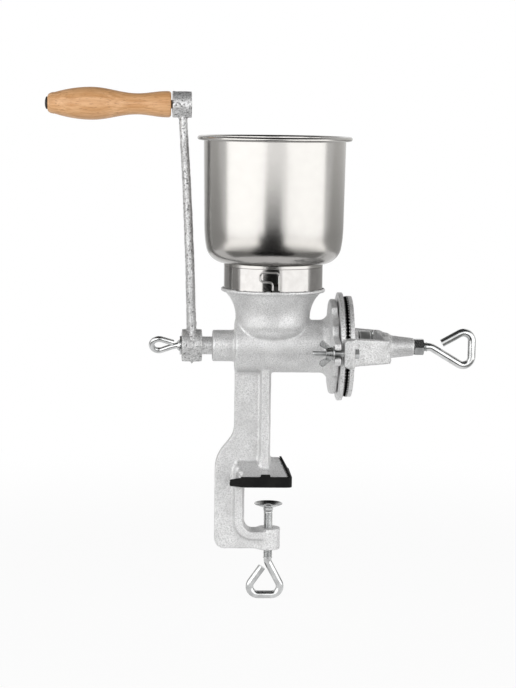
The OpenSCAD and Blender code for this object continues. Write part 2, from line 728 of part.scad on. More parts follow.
// Crank: an arm that leans outward, with a boss at each end, and runs to a point on the lower one
module crank_arm() {
    lean = crank_x - crank_boss_len / 2 - grip_boss_x + grip_boss_len / 2;
    foot_x = crank_x - crank_boss_len / 2;
    bow = 1.3;
    stations = [0.02, 0.35, 0.68, 0.985];
    color(tinned_iron) difference() {
        union() {
            along_shaft(crank_out_x) cylinder(d = crank_boss_d, h = crank_boss_len);
            translate([grip_out_x, 0, grip_z]) rotate([0, 90, 0]) cylinder(d = grip_boss_d, h = grip_boss_len);
            for (i = [0 : len(stations) - 2]) hull() for (t = [stations[i], stations[i + 1]])
                translate([foot_x - lean * t + bow * sin(180 * t), 0, shaft_z + crank_r * t])
                    scale([arm_w * (1 - 0.16 * t), arm_depth * (1 - 0.25 * t), 1])
                        cylinder(d = 1, h = 0.02, $fn = 20);
            hull() {
                translate([foot_x, 0, shaft_z + 2])
                    scale([1.6, crank_boss_d + 1.2, 1]) cylinder(d = 1, h = 0.02, $fn = 20);
                translate([foot_x, 0, shaft_z + crank_boss_d / 2 + 6])
                    scale([arm_w, arm_depth, 1]) cylinder(d = 1, h = 0.02, $fn = 20);
            }
        }
        along_shaft(crank_out_x - eps) translate([-square_w / 2 - run, -square_w / 2 - run, 0])
            cube([square_w + 2 * run, square_w + 2 * run, crank_boss_len + 2 * eps]);
        translate([grip_out_x - eps, 0, grip_z]) rotate([0, 90, 0])
            cylinder(d = spindle_d + 2 * snug, h = grip_boss_len + 2 * eps);
    }
}

// Spindle riveted in the crank, with a domed head outside the handle
module handle_spindle() {
    head_r = spindle_d / 2 + 2.9;
    color(zinc) translate([0, 0, grip_z]) rotate([0, 90, 0]) rotate_extrude() polygon(concat(
        [[0, grip_boss_x], [spindle_d / 2, grip_boss_x], [spindle_d / 2, handle_out_x - seat],
         [head_r, handle_out_x - seat], [head_r, handle_out_x - seat - 1]],
        [for (i = [1 : 4]) [head_r * cos(22.5 * i), handle_out_x - seat - 1 - 1.2 * sin(22.5 * i)]]));
}

// Turned handle: a rounded shoulder, a waist, a belly and a small end
module wood_handle() {
    x0 = handle_x;
    shoulder = 0.8 * handle_d / 2;
    waist_x = x0 - 0.275 * handle_len;
    belly_x = x0 - 0.645 * handle_len;
    tail = 0.66 * handle_d / 2;
    end_x = handle_out_x + 6;
    bore = spindle_d / 2 + run;
    color(beech) translate([0, 0, grip_z]) rotate([0, 90, 0]) rotate_extrude() polygon(concat(
        [[bore, x0], [shoulder - 2, x0]],
        arc([shoulder - 2, x0 - 2], 2, 90, 0, 4),
        swell(x0 - 3, shoulder, waist_x, handle_waist_d / 2),
        swell(waist_x, handle_waist_d / 2, belly_x, handle_d / 2),
        [for (i = [1 : 7]) [handle_d / 2 + (tail - handle_d / 2) * pow(i / 7, 2), belly_x + (end_x - belly_x) * i / 7]],
        [for (i = [1 : 4]) [tail - 2.4 * (1 - cos(22.5 * i)), end_x + (handle_out_x - end_x) * sin(22.5 * i)]],
        [[bore, handle_out_x]]));
}

module crank_washer() {
    color(zinc) along_shaft(thumb_washer_x) difference() {
        cylinder(d = 2 * thumb_d + 4, h = washer_t);
        translate([0, 0, -eps]) cylinder(d = thumb_d + 2 * run, h = washer_t + 2 * eps);
    }
}

// Thumb screw with a teardrop eye that stands askew
module crank_thumb_screw() {
    eye_r = 6.1;
    far = thumb_x - 21.5;
    spread = 9.5;
    color(zinc) {
        along_shaft() rotate_extrude() polygon([
            [0, thumb_x], [thumb_d / 2 + 0.5, thumb_x], [thumb_d / 2 + 2, thumb_washer_x - 0.1],
            [thumb_d / 2, thumb_washer_x - 0.1], [thumb_d / 2, crank_out_x + thumb_depth - 1],
            [0, crank_out_x + thumb_depth - 1]]);
        translate([0, 0, shaft_z]) rotate([90 + 35, 0, 0]) bent_rod([
            [thumb_x + eps, 0], [thumb_x - 4.5, -1.5], [far, -spread], [far, spread],
            [thumb_x - 7, 3.7]], eye_r, eye_wire_d);
    }
}

module thrust_ball() {
    color(zinc) translate([ball_x, 0, shaft_z]) sphere(d = ball_d);
}

// Adjusting screw, bent into a three-sided loop
module adjusting_screw() {
    drop = 0.5436 * key_h;
    rise = key_h - drop;
    end_x = key_reach / 3;
    color(zinc) {
        along_shaft(tip_x) cylinder(d = screw_d, h = loop_x - tip_x);
        translate([loop_x, 0, shaft_z]) rotate([90, 0, 0]) bent_rod([
            [-eps, 0], [wire_d / 2, 0], [key_reach, -drop], [key_reach, rise],
            [end_x, rise - 0.5585 * (key_reach - end_x)]], loop_r, wire_d);
    }
}

module lock_nut() {
    color(zinc) along_shaft(nut_x) difference() {
        hexagon(nut_af, nut_t);
        translate([0, 0, -eps]) cylinder(d = screw_d + 2 * run, h = nut_t + 2 * eps);
    }
}

// Clamp screw, riveted in its cup and bent into a loop below
module clamp_screw() {
    rivet_z = cup_bottom + cup_t + 1.4 + seat;
    right = 0.415 * loop_w;
    color(zinc) {
        translate([0, 0, thread_end]) cylinder(d = screw_d, h = cup_bottom - seat - thread_end);
        translate([0, 0, cup_bottom - eps]) cylinder(d = neck_pin_d, h = rivet_z - cup_bottom + eps + 0.2);
        translate([0, 0, rivet_z]) rotate_extrude() polygon(concat(
            [[0, 0], [neck_pin_d / 2 + 1.2, 0]],
            [for (i = [1 : 5]) [(neck_pin_d / 2 + 1.2) * cos(18 * i), 1.6 * sin(18 * i)]]));
        translate([0, 0, thread_end]) rotate([90, 0, 0]) bent_rod([
            [0, eps], [0, -0.1 * loop_h], [right, -loop_h], [right - loop_w, -loop_h],
            [-0.3 * right, -loop_h / 4]], loop_r, wire_d);
    }
}

// Dished cup that swivels on the clamp screw's end
module clamp_cup() {
    bore = neck_pin_d / 2 + run;
    floor_r = neck_pin_d / 2 + 2.6;
    color(zinc) rotate_extrude() polygon([
        [bore, cup_bottom], [floor_r, cup_bottom], [cup_d / 2 - 0.6, cup_top - 1.3], [cup_d / 2, cup_top - 0.7],
        [cup_d / 2 - 0.3, cup_top], [cup_d / 2 - 1.6, cup_top - 0.4], [floor_r - 0.2, cup_bottom + cup_t + 1.4],
        [bore, cup_bottom + cup_t + 1.4]]);
}

module ear_washer(s) {
    color(zinc) translate([0, s * bolt_y, 0]) along_shaft(wing_x) difference() {
        cylinder(d = ear_washer_d, h = ear_washer_t);
        translate([0, 0, -eps]) cylinder(d = bolt_d + 2 * run, h = ear_washer_t + 2 * eps);
    }
}

// Wing nut with two stamped wings that spread from its hub
module wing_nut(s) {
    hub_x0 = wing_x - wing_hub_len - 0.1;
    wing_t = 1.8;
    color(zinc) translate([0, s * bolt_y, 0]) difference() {
        union() {
            along_shaft(hub_x0) cylinder(d1 = bolt_d + 3.6, d2 = bolt_d + 6, h = wing_hub_len);
            for (k = [-1, 1]) translate([hub_x0 + 2.6, 0, shaft_z]) mirror([0, 0, k > 0 ? 0 : 1]) upright(wing_t)
                polygon(rounded([[2.6, bolt_d / 2 + 0.6, 0], [2.2, bolt_d / 2 + 2.8, 1], [-5.6, 12, 2.4], [-9.4, 7.2, 2.4],
                                 [-2.4, bolt_d / 2 + 0.8, 0]]));
        }
        along_shaft(hub_x0 - 12) cylinder(d = bolt_d + 2 * run, h = wing_hub_len + 24);
    }
}

module front_washer() { ear_washer(-1); }
module rear_washer() { ear_washer(1); }
module front_wing_nut() { wing_nut(-1); }
module rear_wing_nut() { wing_nut(1); }

// Bowl: a spun shell with a rolled rim and a short tube that enters the neck
module hopper_bowl() {
    top_r = bowl_top_d / 2;
    roll_in_r = top_r - sheet_t + roll_d / 2;
    tube_r = neck_r - sheet_t - snug;
    start = -acos((neck_r - bowl_knee_r) / bowl_r);
    knee = [bowl_knee_r, bowl_knee_z];
    color(satin_steel) translate([throat_x, 0, 0]) {
        rotate_extrude($fn = 96) polygon(concat(
            [[tube_r, neck_top_z - 8], [tube_r, bowl_z], [neck_r, bowl_z]],
            arc(knee, bowl_r, start, 0, 10), [[top_r, bowl_rim_z], [top_r - sheet_t, bowl_rim_z]],
            arc(knee, bowl_r - sheet_t, 0, start, 10), [[tube_r - sheet_t, bowl_z + 1], [tube_r - sheet_t, neck_top_z - 8]]));
        translate([0, 0, bowl_rim_z]) rotate_extrude($fn = 96) {
            translate([roll_in_r, 0]) circle(d = roll_d);
            translate([roll_in_r + roll_w - roll_d, 0]) circle(d = roll_d);
            translate([roll_in_r, -roll_d / 2]) square([roll_w - roll_d, roll_d]);
        }
    }
}

// Polished neck with a slot cut up from its lower edge and along to one side
module hopper_collar() {
    cross_top = neck_top_z - 4.2;
    cross_low = cross_top - slot_cross_h;
    color(polished_steel) translate([throat_x, 0, 0]) difference() {
        translate([0, 0, neck_z]) difference() {
            cylinder(r = neck_r, h = neck_h);
            translate([0, 0, -eps]) cylinder(r = neck_r - sheet_t, h = neck_h + 2 * eps);
        }
        translate([0, -neck_r, 0]) upright(16) polygon(rounded([
            [slot_w / 2, neck_z - eps, 0], [slot_w / 2, cross_top, 2], [slot_w / 2 - slot_reach, cross_top, 2],
            [slot_w / 2 - slot_reach, cross_low, 2], [-slot_w / 2, cross_low, 2], [-slot_w / 2, neck_z - eps, 0]]));
    }
}

mill_body();
clamp_pad();
stationary_plate();
yoke();
yoke_bolts();
auger();
rotating_plate();
drive_collar();
cotter_pin();
crank_arm();
handle_spindle();
wood_handle();
crank_washer();
crank_thumb_screw();
thrust_ball();
adjusting_screw();
lock_nut();
clamp_screw();
clamp_cup();
front_washer();
rear_washer();
front_wing_nut();
rear_wing_nut();
hopper_bowl();
hopper_collar();
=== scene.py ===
import json
import math

import bpy
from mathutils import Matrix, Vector


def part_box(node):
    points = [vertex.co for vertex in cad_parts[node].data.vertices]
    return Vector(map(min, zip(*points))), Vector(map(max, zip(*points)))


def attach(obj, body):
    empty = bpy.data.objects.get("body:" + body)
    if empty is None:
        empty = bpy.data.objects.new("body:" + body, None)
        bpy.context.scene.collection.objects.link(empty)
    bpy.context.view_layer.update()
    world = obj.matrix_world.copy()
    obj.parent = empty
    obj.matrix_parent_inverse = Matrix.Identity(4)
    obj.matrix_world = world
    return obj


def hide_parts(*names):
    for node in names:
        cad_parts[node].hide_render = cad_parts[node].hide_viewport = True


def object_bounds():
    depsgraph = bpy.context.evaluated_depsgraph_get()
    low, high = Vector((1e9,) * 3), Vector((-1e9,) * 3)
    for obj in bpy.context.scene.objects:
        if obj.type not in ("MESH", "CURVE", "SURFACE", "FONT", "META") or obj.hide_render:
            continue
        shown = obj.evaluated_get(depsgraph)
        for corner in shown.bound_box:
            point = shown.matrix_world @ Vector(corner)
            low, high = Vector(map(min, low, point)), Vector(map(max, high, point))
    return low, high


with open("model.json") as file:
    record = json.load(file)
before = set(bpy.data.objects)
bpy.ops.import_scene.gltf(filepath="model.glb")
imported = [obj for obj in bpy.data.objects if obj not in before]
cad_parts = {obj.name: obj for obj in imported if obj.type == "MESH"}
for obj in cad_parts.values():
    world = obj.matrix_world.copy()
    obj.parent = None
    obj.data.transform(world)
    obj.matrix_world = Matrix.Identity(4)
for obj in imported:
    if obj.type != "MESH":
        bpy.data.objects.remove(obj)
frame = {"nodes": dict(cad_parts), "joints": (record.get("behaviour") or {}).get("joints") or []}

bl_info = {
    "name": "Hand grain mill",
    "version": (1, 0, 0),
    "blender": (4, 5, 0),
    "location": "View3D > Sidebar > Grain mill",
    "description": "Dresses the packed mill in cast iron, spun steel, threads and wood",
    "category": "Object",
}

# Measures taken from the frame, in metres
CAD_BOX = [list(corner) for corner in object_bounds()]
JOINTS = {joint["name"]: joint for joint in frame["joints"]}
SHAFT_Z = JOINTS["crank_turn"]["pos_m"][2]
GRIP_Z = JOINTS["grip_turn"]["pos_m"][2]
BOLT_Y = JOINTS["rear_nut_turn"]["pos_m"][1]
MM = 0.001
PER_MM = 1000.0
FULL_TURN = 2 * math.pi
SHAFT = (0, 0, SHAFT_Z)
# Turn in degrees that lays what stands up +Z along +X
ALONG_X = (0, 90, 0)
# Half width of a hexagon over its flats, as a share of its corner radius
HEX_FLAT = 0.866


# Finishes


def linear(hex_colour):
    """Turns an sRGB hex value into linear red, green, blue and alpha."""
    parts = [int(hex_colour[i:i + 2], 16) / 255 for i in (1, 3, 5)]
    return tuple(c / 12.92 if c <= 0.04045 else ((c + 0.055) / 1.055) ** 2.4 for c in parts) + (1.0,)


def add_node(tree, kind, settings=None, links=None):
    """Adds one shader node with its settings and its incoming links, each from a socket or from
    the first output of a node."""
    made = tree.nodes.new(kind)
    for key, value in (settings or {}).items():
        if isinstance(key, int) or key in made.inputs:
            made.inputs[key].default_value = value
        else:
            setattr(made, key, value)
    for key, source in (links or {}).items():
        socket = source.outputs[0] if isinstance(source, bpy.types.Node) else source
        tree.links.new(socket, made.inputs[key])
    return made


def bare_tree(owner):
    """The emptied node tree of a material or a world."""
    owner.use_nodes = True
    owner.node_tree.nodes.clear()
    return owner.node_tree


def new_finish(name, settings):
    """Starts a material: its tree, its shader and its object coordinates."""
    finish = bpy.data.materials.new(name)
    tree = bare_tree(finish)
    shader = add_node(tree, "ShaderNodeBsdfPrincipled", settings)
    add_node(tree, "ShaderNodeOutputMaterial", links={"Surface": shader})
    place = add_node(tree, "ShaderNodeTexCoord").outputs["Object"]
    return finish, tree, shader, place


def link_skin(tree, shader, colour, dull, bump):
    """Links a finish's colour, roughness and relief to its shader."""
    tree.links.new(colour.outputs[2], shader.inputs["Base Color"])
    tree.links.new(dull.outputs[0], shader.inputs["Roughness"])
    tree.links.new(bump.outputs[0], shader.inputs["Normal"])


def cast_iron(name, light, dark, pit, rough, grain_mm, relief_mm, pit_share):
    """Sand-cast iron under a dull tin coat: a sandy skin that scatters light, with darker
    pits where the sand left holes and a cloudy change of tone over each casting."""
    finish, tree, shader, place = new_finish(name, {"Metallic": 0.62})
    cloud, sand, holes = (
        add_node(tree, "ShaderNodeTexNoise", {"Scale": PER_MM / size, "Detail": detail, "Roughness": fine},
                 {"Vector": place})
        for size, detail, fine in ((16, 3.0, 0.5), (grain_mm, 4.0, 0.62), (1.9, 2.0, 0.5)))
    tone, speck, pitted = (
        add_node(tree, "ShaderNodeMapRange", {"From Min": low, "From Max": high, "To Max": most},
                 {"Value": noise})
        for noise, low, high, most in ((cloud, 0.38, 0.66, 0.45), (sand, 0.42, 0.62, 0.95),
                                       (holes, 0.66 - pit_share, 0.74 - pit_share, 0.75)))
    colour = add_node(tree, "ShaderNodeMix", {"data_type": "RGBA", 6: light, 7: dark}, {0: tone})
    for share, shade in ((speck, dark), (pitted, pit)):
        colour = add_node(tree, "ShaderNodeMix", {"data_type": "RGBA", 7: shade},
                          {0: share, 6: colour.outputs[2]})
    dull = add_node(tree, "ShaderNodeMapRange", {"To Min": rough - 0.08, "To Max": rough + 0.1},
                    {"Value": sand})
    height = add_node(tree, "ShaderNodeMath", {"operation": "SUBTRACT"}, {0: sand, 1: pitted})
    bump = add_node(tree, "ShaderNodeBump", {"Strength": 0.6, "Distance": relief_mm * MM}, {"Height": height})
    link_skin(tree, shader, colour, dull, bump)
    return finish


def worked_steel(name, light, dark, rough, line_mm, line_axis, relief_mm, drawn=0.08):
    """Drawn, spun or plated steel: a clear metal gloss broken by fine lines that run across
    line_axis, and a slow change of tone that reads as handling."""
    finish, tree, shader, place = new_finish(name, {"Metallic": 1.0})
    stretch = [drawn] * 3
    stretch["XYZ".index(line_axis)] = 1.0
    along = add_node(tree, "ShaderNodeMapping", {"Scale": stretch}, {"Vector": place})
    lines = add_node(tree, "ShaderNodeTexNoise", {"Scale": PER_MM / line_mm, "Detail": 3.0},
                     {"Vector": along})
    cloud = add_node(tree, "ShaderNodeTexNoise", {"Scale": PER_MM / 9, "Detail": 3.0}, {"Vector": place})
    tone = add_node(tree, "ShaderNodeMapRange", {"From Min": 0.35, "From Max": 0.7}, {"Value": cloud})
    colour = add_node(tree, "ShaderNodeMix", {"data_type": "RGBA", 6: light, 7: dark}, {0: tone})
    dull = add_node(tree, "ShaderNodeMapRange", {"To Min": rough * 0.75, "To Max": rough * 1.25},
                    {"Value": lines})
    bump = add_node(tree, "ShaderNodeBump", {"Strength": 0.35, "Distance": relief_mm * MM}, {"Height": lines})
    link_skin(tree, shader, colour, dull, bump)
    return finish


def turned_beech(name, light, dark, fleck):
    """Steamed beech, turned and oiled: pale straight grain along the grip, broken by the
    short dark ray flecks that mark beech, under a thin soft gloss."""
    finish, tree, shader, place = new_finish(name, {"Coat Weight": 0.12, "Coat Roughness": 0.3})
    # The flecks are drawn twice as coarse as real ones, which would not show
    grain_way, fleck_way = (
        add_node(tree, "ShaderNodeMapping", {"Scale": (along, 1.0, 1.0)}, {"Vector": place})
        for along in (0.03, 0.14))
    grain = add_node(tree, "ShaderNodeTexNoise", {"Scale": PER_MM / 1.9, "Detail": 4.0, "Roughness": 0.6},
                     {"Vector": grain_way})
    rays = add_node(tree, "ShaderNodeTexNoise", {"Scale": PER_MM / 0.75, "Detail": 1.0},
                    {"Vector": fleck_way})
    tone = add_node(tree, "ShaderNodeMapRange", {"From Min": 0.34, "From Max": 0.68}, {"Value": grain})
    dash = add_node(tree, "ShaderNodeMapRange", {"From Min": 0.6, "From Max": 0.7, "To Max": 0.6},
                    {"Value": rays})
    wood = add_node(tree, "ShaderNodeMix", {"data_type": "RGBA", 6: light, 7: dark}, {0: tone})
    colour = add_node(tree, "ShaderNodeMix", {"data_type": "RGBA", 7: fleck}, {0: dash, 6: wood.outputs[2]})
    dull = add_node(tree, "ShaderNodeMapRange", {"To Min": 0.36, "To Max": 0.52}, {"Value": grain})
    bump = add_node(tree, "ShaderNodeBump", {"Strength": 0.25, "Distance": 0.1 * MM}, {"Height": grain})
    link_skin(tree, shader, colour, dull, bump)
    return finish


def moulded_rubber(name, black, worn):
    """Moulded black rubber: nearly no gloss, a fine dusty bloom and a slightly uneven skin."""
    finish, tree, shader, place = new_finish(name, {"Specular IOR Level": 0.16})
    bloom, skin = (
        add_node(tree, "ShaderNodeTexNoise", {"Scale": PER_MM / size, "Detail": detail}, {"Vector": place})
        for size, detail in ((7, 4.0), (0.9, 2.0)))
    tone = add_node(tree, "ShaderNodeMapRange", {"From Min": 0.45, "From Max": 0.75}, {"Value": bloom})
    colour = add_node(tree, "ShaderNodeMix", {"data_type": "RGBA", 6: black, 7: worn}, {0: tone})
    dull = add_node(tree, "ShaderNodeMapRange", {"To Min": 0.5, "To Max": 0.72}, {"Value": bloom})
    bump = add_node(tree, "ShaderNodeBump", {"Strength": 0.4, "Distance": 0.12 * MM}, {"Height": skin})
    link_skin(tree, shader, colour, dull, bump)
    return finish


def mill_finishes():
    """Makes each finish once and gives them by name."""
    tones = bpy.context.scene.mill_tones
    tin, steel, wood = (tuple(tone) + (1.0,) for tone in (tones.tin, tones.steel, tones.beech))
    # Tones, roughness, then the grain and relief in millimetres, and how far the pits spread
    irons = (
        ("tinned_iron", "tinned_cast_iron", tin, "#BEBEBE", "#8E8E8E", 0.5, 0.9, 0.28, -0.04),
        ("crank_iron", "rough_cast_iron", linear("#E2E2E2"), "#A6A6A6", "#464646", 0.4, 1.4, 0.6, 0.075),
        ("yoke_iron", "speckled_cast_iron", linear("#E2E2E2"), "#B4B4B4", "#606060", 0.52, 1.0, 0.35, -0.01),
        ("plate_iron", "chilled_plate_iron", linear("#F2F2F2"), "#BEBEBE", "#5A5A5A", 0.46, 1.1, 0.4, 0.03),
    )
    # Tones, roughness, the lines' width, axis and relief, and their scale along their length
    steels = (
        ("satin_steel", "spun_stainless_steel", steel, "#ACAAA7", 0.2, 0.8, "Z", 0.07, 0.7),
        ("polished_steel", "polished_stainless_steel", linear("#A9A7A5"), "#A19F9D", 0.11, 0.8, "Z", 0.003),
        ("zinc_steel", "bright_zinc_plate", linear("#D4D5D5"), "#AEAFAF", 0.19, 0.6, "X", 0.01),
        ("dull_zinc", "dull_zinc_plate", linear("#D6D7D7"), "#AFB0B0", 0.38, 0.6, "X", 0.02),
        ("nut_steel", "greyed_zinc_plate", linear("#B4B5B5"), "#868787", 0.27, 0.5, "X", 0.02),
        ("cup_steel", "grey_zinc_plate", linear("#CBCCCC"), "#9A9B9B", 0.25, 0.5, "X", 0.02),
        # The blackened finish is also painted shade on the faces of the plates that face each other
        ("black_steel_and_shade", "blackened_steel_and_painted_shade", linear("#4A4947"), "#2B2A29", 0.42, 0.5, "X", 0.02),
    )
    made = {key: cast_iron(name, light, linear(dark), linear(pit), *rest)
            for key, name, light, dark, pit, *rest in irons}
    made.update({key: worked_steel(name, light, linear(dark), *rest)
                 for key, name, light, dark, *rest in steels})
    made["beech"] = turned_beech("turned_beech", wood, linear("#BF8A55"), linear("#9F6E3E"))
    made["black_rubber"] = moulded_rubber("moulded_rubber", linear("#0B0B0B"), linear("#191918"))
    return made


class MillSizes(bpy.types.PropertyGroup):
    """Sizes that a user of the mill may change"""
    cast_lumps: bpy.props.FloatProperty(
        name="Casting lumps", description="Height of the unevenness that the sand mould left",
        subtype="DISTANCE", unit="LENGTH", min=0.0, max=0.001, precision=5, default=0.25 * MM)
    bowl_sheet: bpy.props.FloatProperty(
        name="Hopper sheet", description="Thickness of the steel that the hopper is spun from",
        subtype="DISTANCE", unit="LENGTH", min=0.0005, max=0.0015, precision=5, default=1.0 * MM)
    grip_waist: bpy.props.FloatProperty(
        name="Grip waist", description="Radius of the wooden grip where it is thinnest",
        subtype="DISTANCE", unit="LENGTH", min=0.006, max=0.012, precision=5, default=8.8 * MM)
    loop_wire: bpy.props.FloatProperty(
        name="Loop wire", description="Radius of the rod that both big screws are bent from",
        subtype="DISTANCE", unit="LENGTH", min=0.0025, max=0.0034, precision=5, default=3.4 * MM)


class MillTones(bpy.types.PropertyGroup):
    """Colours that a user of the mill may change"""
    tin: bpy.props.FloatVectorProperty(
        name="Tin coat", description="Lightest tone of the tinned castings", subtype="COLOR",
        size=3, min=0.0, max=1.0, default=linear("#EAEAEA")[:3])
    steel: bpy.props.FloatVectorProperty(
        name="Spun steel", description="Lightest tone of the hopper's bowl", subtype="COLOR",
        size=3, min=0.0, max=1.0, default=linear("#AEACA9")[:3])
    beech: bpy.props.FloatVectorProperty(
        name="Beech", description="Lightest tone of the wooden grip", subtype="COLOR",
        size=3, min=0.0, max=1.0, default=linear("#DEB083")[:3])


# Stage


class MILL_OT_stage(bpy.types.Operator):
    """Set the pale floor, the soft boxes and the camera"""
    bl_idname = "mill.stage"
    bl_label = "Stage"

    # Where the photograph was taken from, read off its perspective
    aim = Vector((-0.0106, 0.0, 0.1195))
    camera_from_aim = Vector((-0.0935, -1.785, 0.2095))
    camera_lens_mm = 110.8
    camera_roll_deg = 0.75
    floor_gap, floor_r = 0.5 * MM, 40.0
    # Place, size and power of each soft box
    boxes = (
        ("left_box", (-1.3, -1.05, 0.5), (2.4, 1.8), 20.0),
        ("right_box", (1.3, -1.05, 0.5), (2.4, 1.8), 18.5),
        ("front_box", (0.0, -2.9, 0.6), (1.8, 1.4), 7.0),
    )
    # Half widths and distances of the front card, and how far it leans to the left on its way
    front_card = ((0.2, -0.3), (0.34, -0.42), (0.42, -0.57), (0.42, -0.78), (0.36, -1.0),
                  (0.24, -1.3), (0.1, -1.7))
    front_lean = 0.1
    black_glow = 0.004
    # Ends of the cards at both sides, how far they reach forward at each height above the floor,
    # and their glow at two heights
    flag_ends = ((0.38, 1.0), (1.55, -0.3))
    flag_edge = ((0.0, 0.86), (0.14, 0.81), (0.24, 0.68), (0.33, 0.56), (1.6, 0.4))
    flag_glow = {-1: (0.44, 0.76), 1: (0.48, 0.88)}
    flag_heights = (0.23, 0.38)
    # Distance of the card that the hopper mirrors, its edges at each height, and where it fades
    spike_card = 0.42
    spike = ((-0.21, 0.09, 0.1), (-0.21, 0.09, 0.15), (-0.14, 0.07, 0.16), (-0.115, 0.05, 0.25))
    spike_fade = (0.178, 0.25)
    # Radii of the floor cards beside the mill and their turns from the front in degrees, then their
    # near and far glow and where it changes
    knee_card = (0.28, 1.6, 14.0, 95.0)
    knee_glow = (0.3, 2.2, (0.7, 1.08))
    knee_gap = 0.2 * MM

    def execute(self, context):
        scene = context.scene
        scene.view_settings.view_transform = "Standard"
        self.set_camera(scene)
        self.set_floor()
        self.set_cards()
        self.set_world(scene)
        for name, at, size, power in self.boxes:
            lamp = bpy.data.lights.new(name, "AREA")
            lamp.shape, lamp.size, lamp.size_y, lamp.energy = "RECTANGLE", size[0], size[1], power
            holder = bpy.data.objects.new(name, lamp)
            scene.collection.objects.link(holder)
            holder.location = at
            holder.rotation_euler = (Vector(at) - self.aim).to_track_quat("Z", "Y").to_euler()
        return {"FINISHED"}

    def set_camera(self, scene):
        camera = bpy.data.objects.new("photo_camera", bpy.data.cameras.new("photo_camera"))
        scene.collection.objects.link(camera)
        camera.location = self.aim + self.camera_from_aim
        camera.rotation_euler = self.camera_from_aim.to_track_quat("Z", "Y").to_euler()
        camera.rotation_euler.rotate_axis("Z", math.radians(self.camera_roll_deg))
        camera.data.lens = self.camera_lens_mm
        camera.data.sensor_width = 36.0
        scene.camera = camera

    def set_floor(self):
        bpy.ops.object.select_all(action="DESELECT")
        bpy.ops.mesh.primitive_circle_add(vertices=96, radius=self.floor_r, fill_type="TRIFAN",
                                          location=(0, 0, CAD_BOX[0][2] - self.floor_gap))
        floor = bpy.context.object
        floor.name = "floor"
        finish, tree, shader, place = new_finish(
            "floor_paper", {"Base Color": linear("#FAFAF9"), "Roughness": 0.9, "Specular IOR Level": 0.1})
        # Far from the mill the paper runs out into plain white, for what looks at it or mirrors it
        away = add_node(tree, "ShaderNodeVectorMath", {"operation": "LENGTH"}, {0: place})
        far = add_node(tree, "ShaderNodeMapRange",
                       {"interpolation_type": "SMOOTHSTEP", "From Min": 0.25, "From Max": 0.8,
                        "To Min": 0.93}, {"Value": away.outputs["Value"]})
        ray = add_node(tree, "ShaderNodeLightPath").outputs
        seen = ray["Is Camera Ray"]
        for kind in ("Is Glossy Ray", "Is Transmission Ray"):
            seen = add_node(tree, "ShaderNodeMath", {"operation": "MAXIMUM"}, {0: seen, 1: ray[kind]})
        share = add_node(tree, "ShaderNodeMath", {"operation": "MULTIPLY"}, {0: seen, 1: far})
        white = add_node(tree, "ShaderNodeEmission", {"Color": linear("#FFFFFF"), "Strength": 1.0})
        mixed = add_node(tree, "ShaderNodeMixShader", None, {0: share, 1: shader, 2: white})
        out = [made for made in tree.nodes if made.type == "OUTPUT_MATERIAL"][0]
        tree.links.new(mixed.outputs[0], out.inputs["Surface"])
        floor.data.materials.append(finish)

    def card_paper(self, name, glow, far_glow=None, way=(0.0, 1.0), fade=None, upward=False):
        """Paper with a glow of its own, which may change upward or away from the mill. It may
        also fade out upward."""
        paper = bpy.data.materials.new(name)
        paper.cycles.emission_sampling = "NONE"
        tree = bare_tree(paper)
        place = add_node(tree, "ShaderNodeTexCoord").outputs["Object"]
        parts = add_node(tree, "ShaderNodeSeparateXYZ", links={"Vector": place})
        away = add_node(tree, "ShaderNodeVectorMath", {"operation": "LENGTH"}, {0: place})
        level = add_node(tree, "ShaderNodeMapRange",
                         {"interpolation_type": "SMOOTHSTEP", "From Min": way[0], "From Max": way[1],
                          "To Min": glow, "To Max": glow if far_glow is None else far_glow},
                         {"Value": parts.outputs["Z"] if upward else away.outputs["Value"]})
        light = add_node(tree, "ShaderNodeEmission", {"Color": linear("#FFFEFC")}, {"Strength": level})
        surface = light
        if fade:
            share = add_node(tree, "ShaderNodeMapRange",
                             {"interpolation_type": "SMOOTHSTEP", "From Min": fade[0], "From Max": fade[1]},
                             {"Value": parts.outputs["Z"]})
            clear = add_node(tree, "ShaderNodeBsdfTransparent")
            surface = add_node(tree, "ShaderNodeMixShader", None, {0: share, 1: surface, 2: clear})
        add_node(tree, "ShaderNodeOutputMaterial", links={"Surface": surface})
        return paper

    def set_cards(self):
        """Cards that only the metal mirrors: dark ones in front, grey ones at the sides and a
        pale one on the floor at each side."""
        black = self.card_paper("black_card", self.black_glow)
        fading = self.card_paper("fading_card", self.black_glow, fade=self.spike_fade)
        pale = self.card_paper("pale_card", *self.knee_glow)
        floor_z = CAD_BOX[0][2]
        front = [(side * w + self.front_lean * y, y, floor_z)
                 for side, row in ((-1, self.front_card), (1, self.front_card[::-1])) for w, y in row]
        spike = [(x, -self.spike_card, z) for x, _, z in self.spike]
        spike += [(x, -self.spike_card, z) for _, x, z in self.spike[::-1]]
        cards = [("front_card", black, front), ("spike_card", fading, spike)]
        near, far, start, end = self.knee_card
        turns = [math.radians(start + (end - start) * i / 12) for i in range(13)]
        for side, word in ((-1, "left"), (1, "right")):
            sector = [(r * side * math.sin(a), -r * math.cos(a), floor_z - self.knee_gap)
                      for r, row in ((near, turns), (far, turns[::-1])) for a in row]
            cards.append((word + "_knee_card", pale, sector))
            (x0, y0), (x1, y1) = self.flag_ends
            flag = [(side * (x0 + (x1 - x0) * t), y0 + (y1 - y0) * t, floor_z + z) for z, t in self.flag_edge]
            flag += [(side * x0, y0, floor_z + self.flag_edge[-1][0]), (side * x0, y0, floor_z)]
            paper = self.card_paper(word + "_flag_card", *self.flag_glow[side],
                                    [floor_z + z for z in self.flag_heights], upward=True)
            cards.append((word + "_flag", paper, flag))
        for name, finish, corners in cards:
            card = only(filled(name, [Vector(corner) for corner in corners]))
            card.visible_camera = card.visible_diffuse = card.visible_shadow = False
            card.data.materials.append(finish)

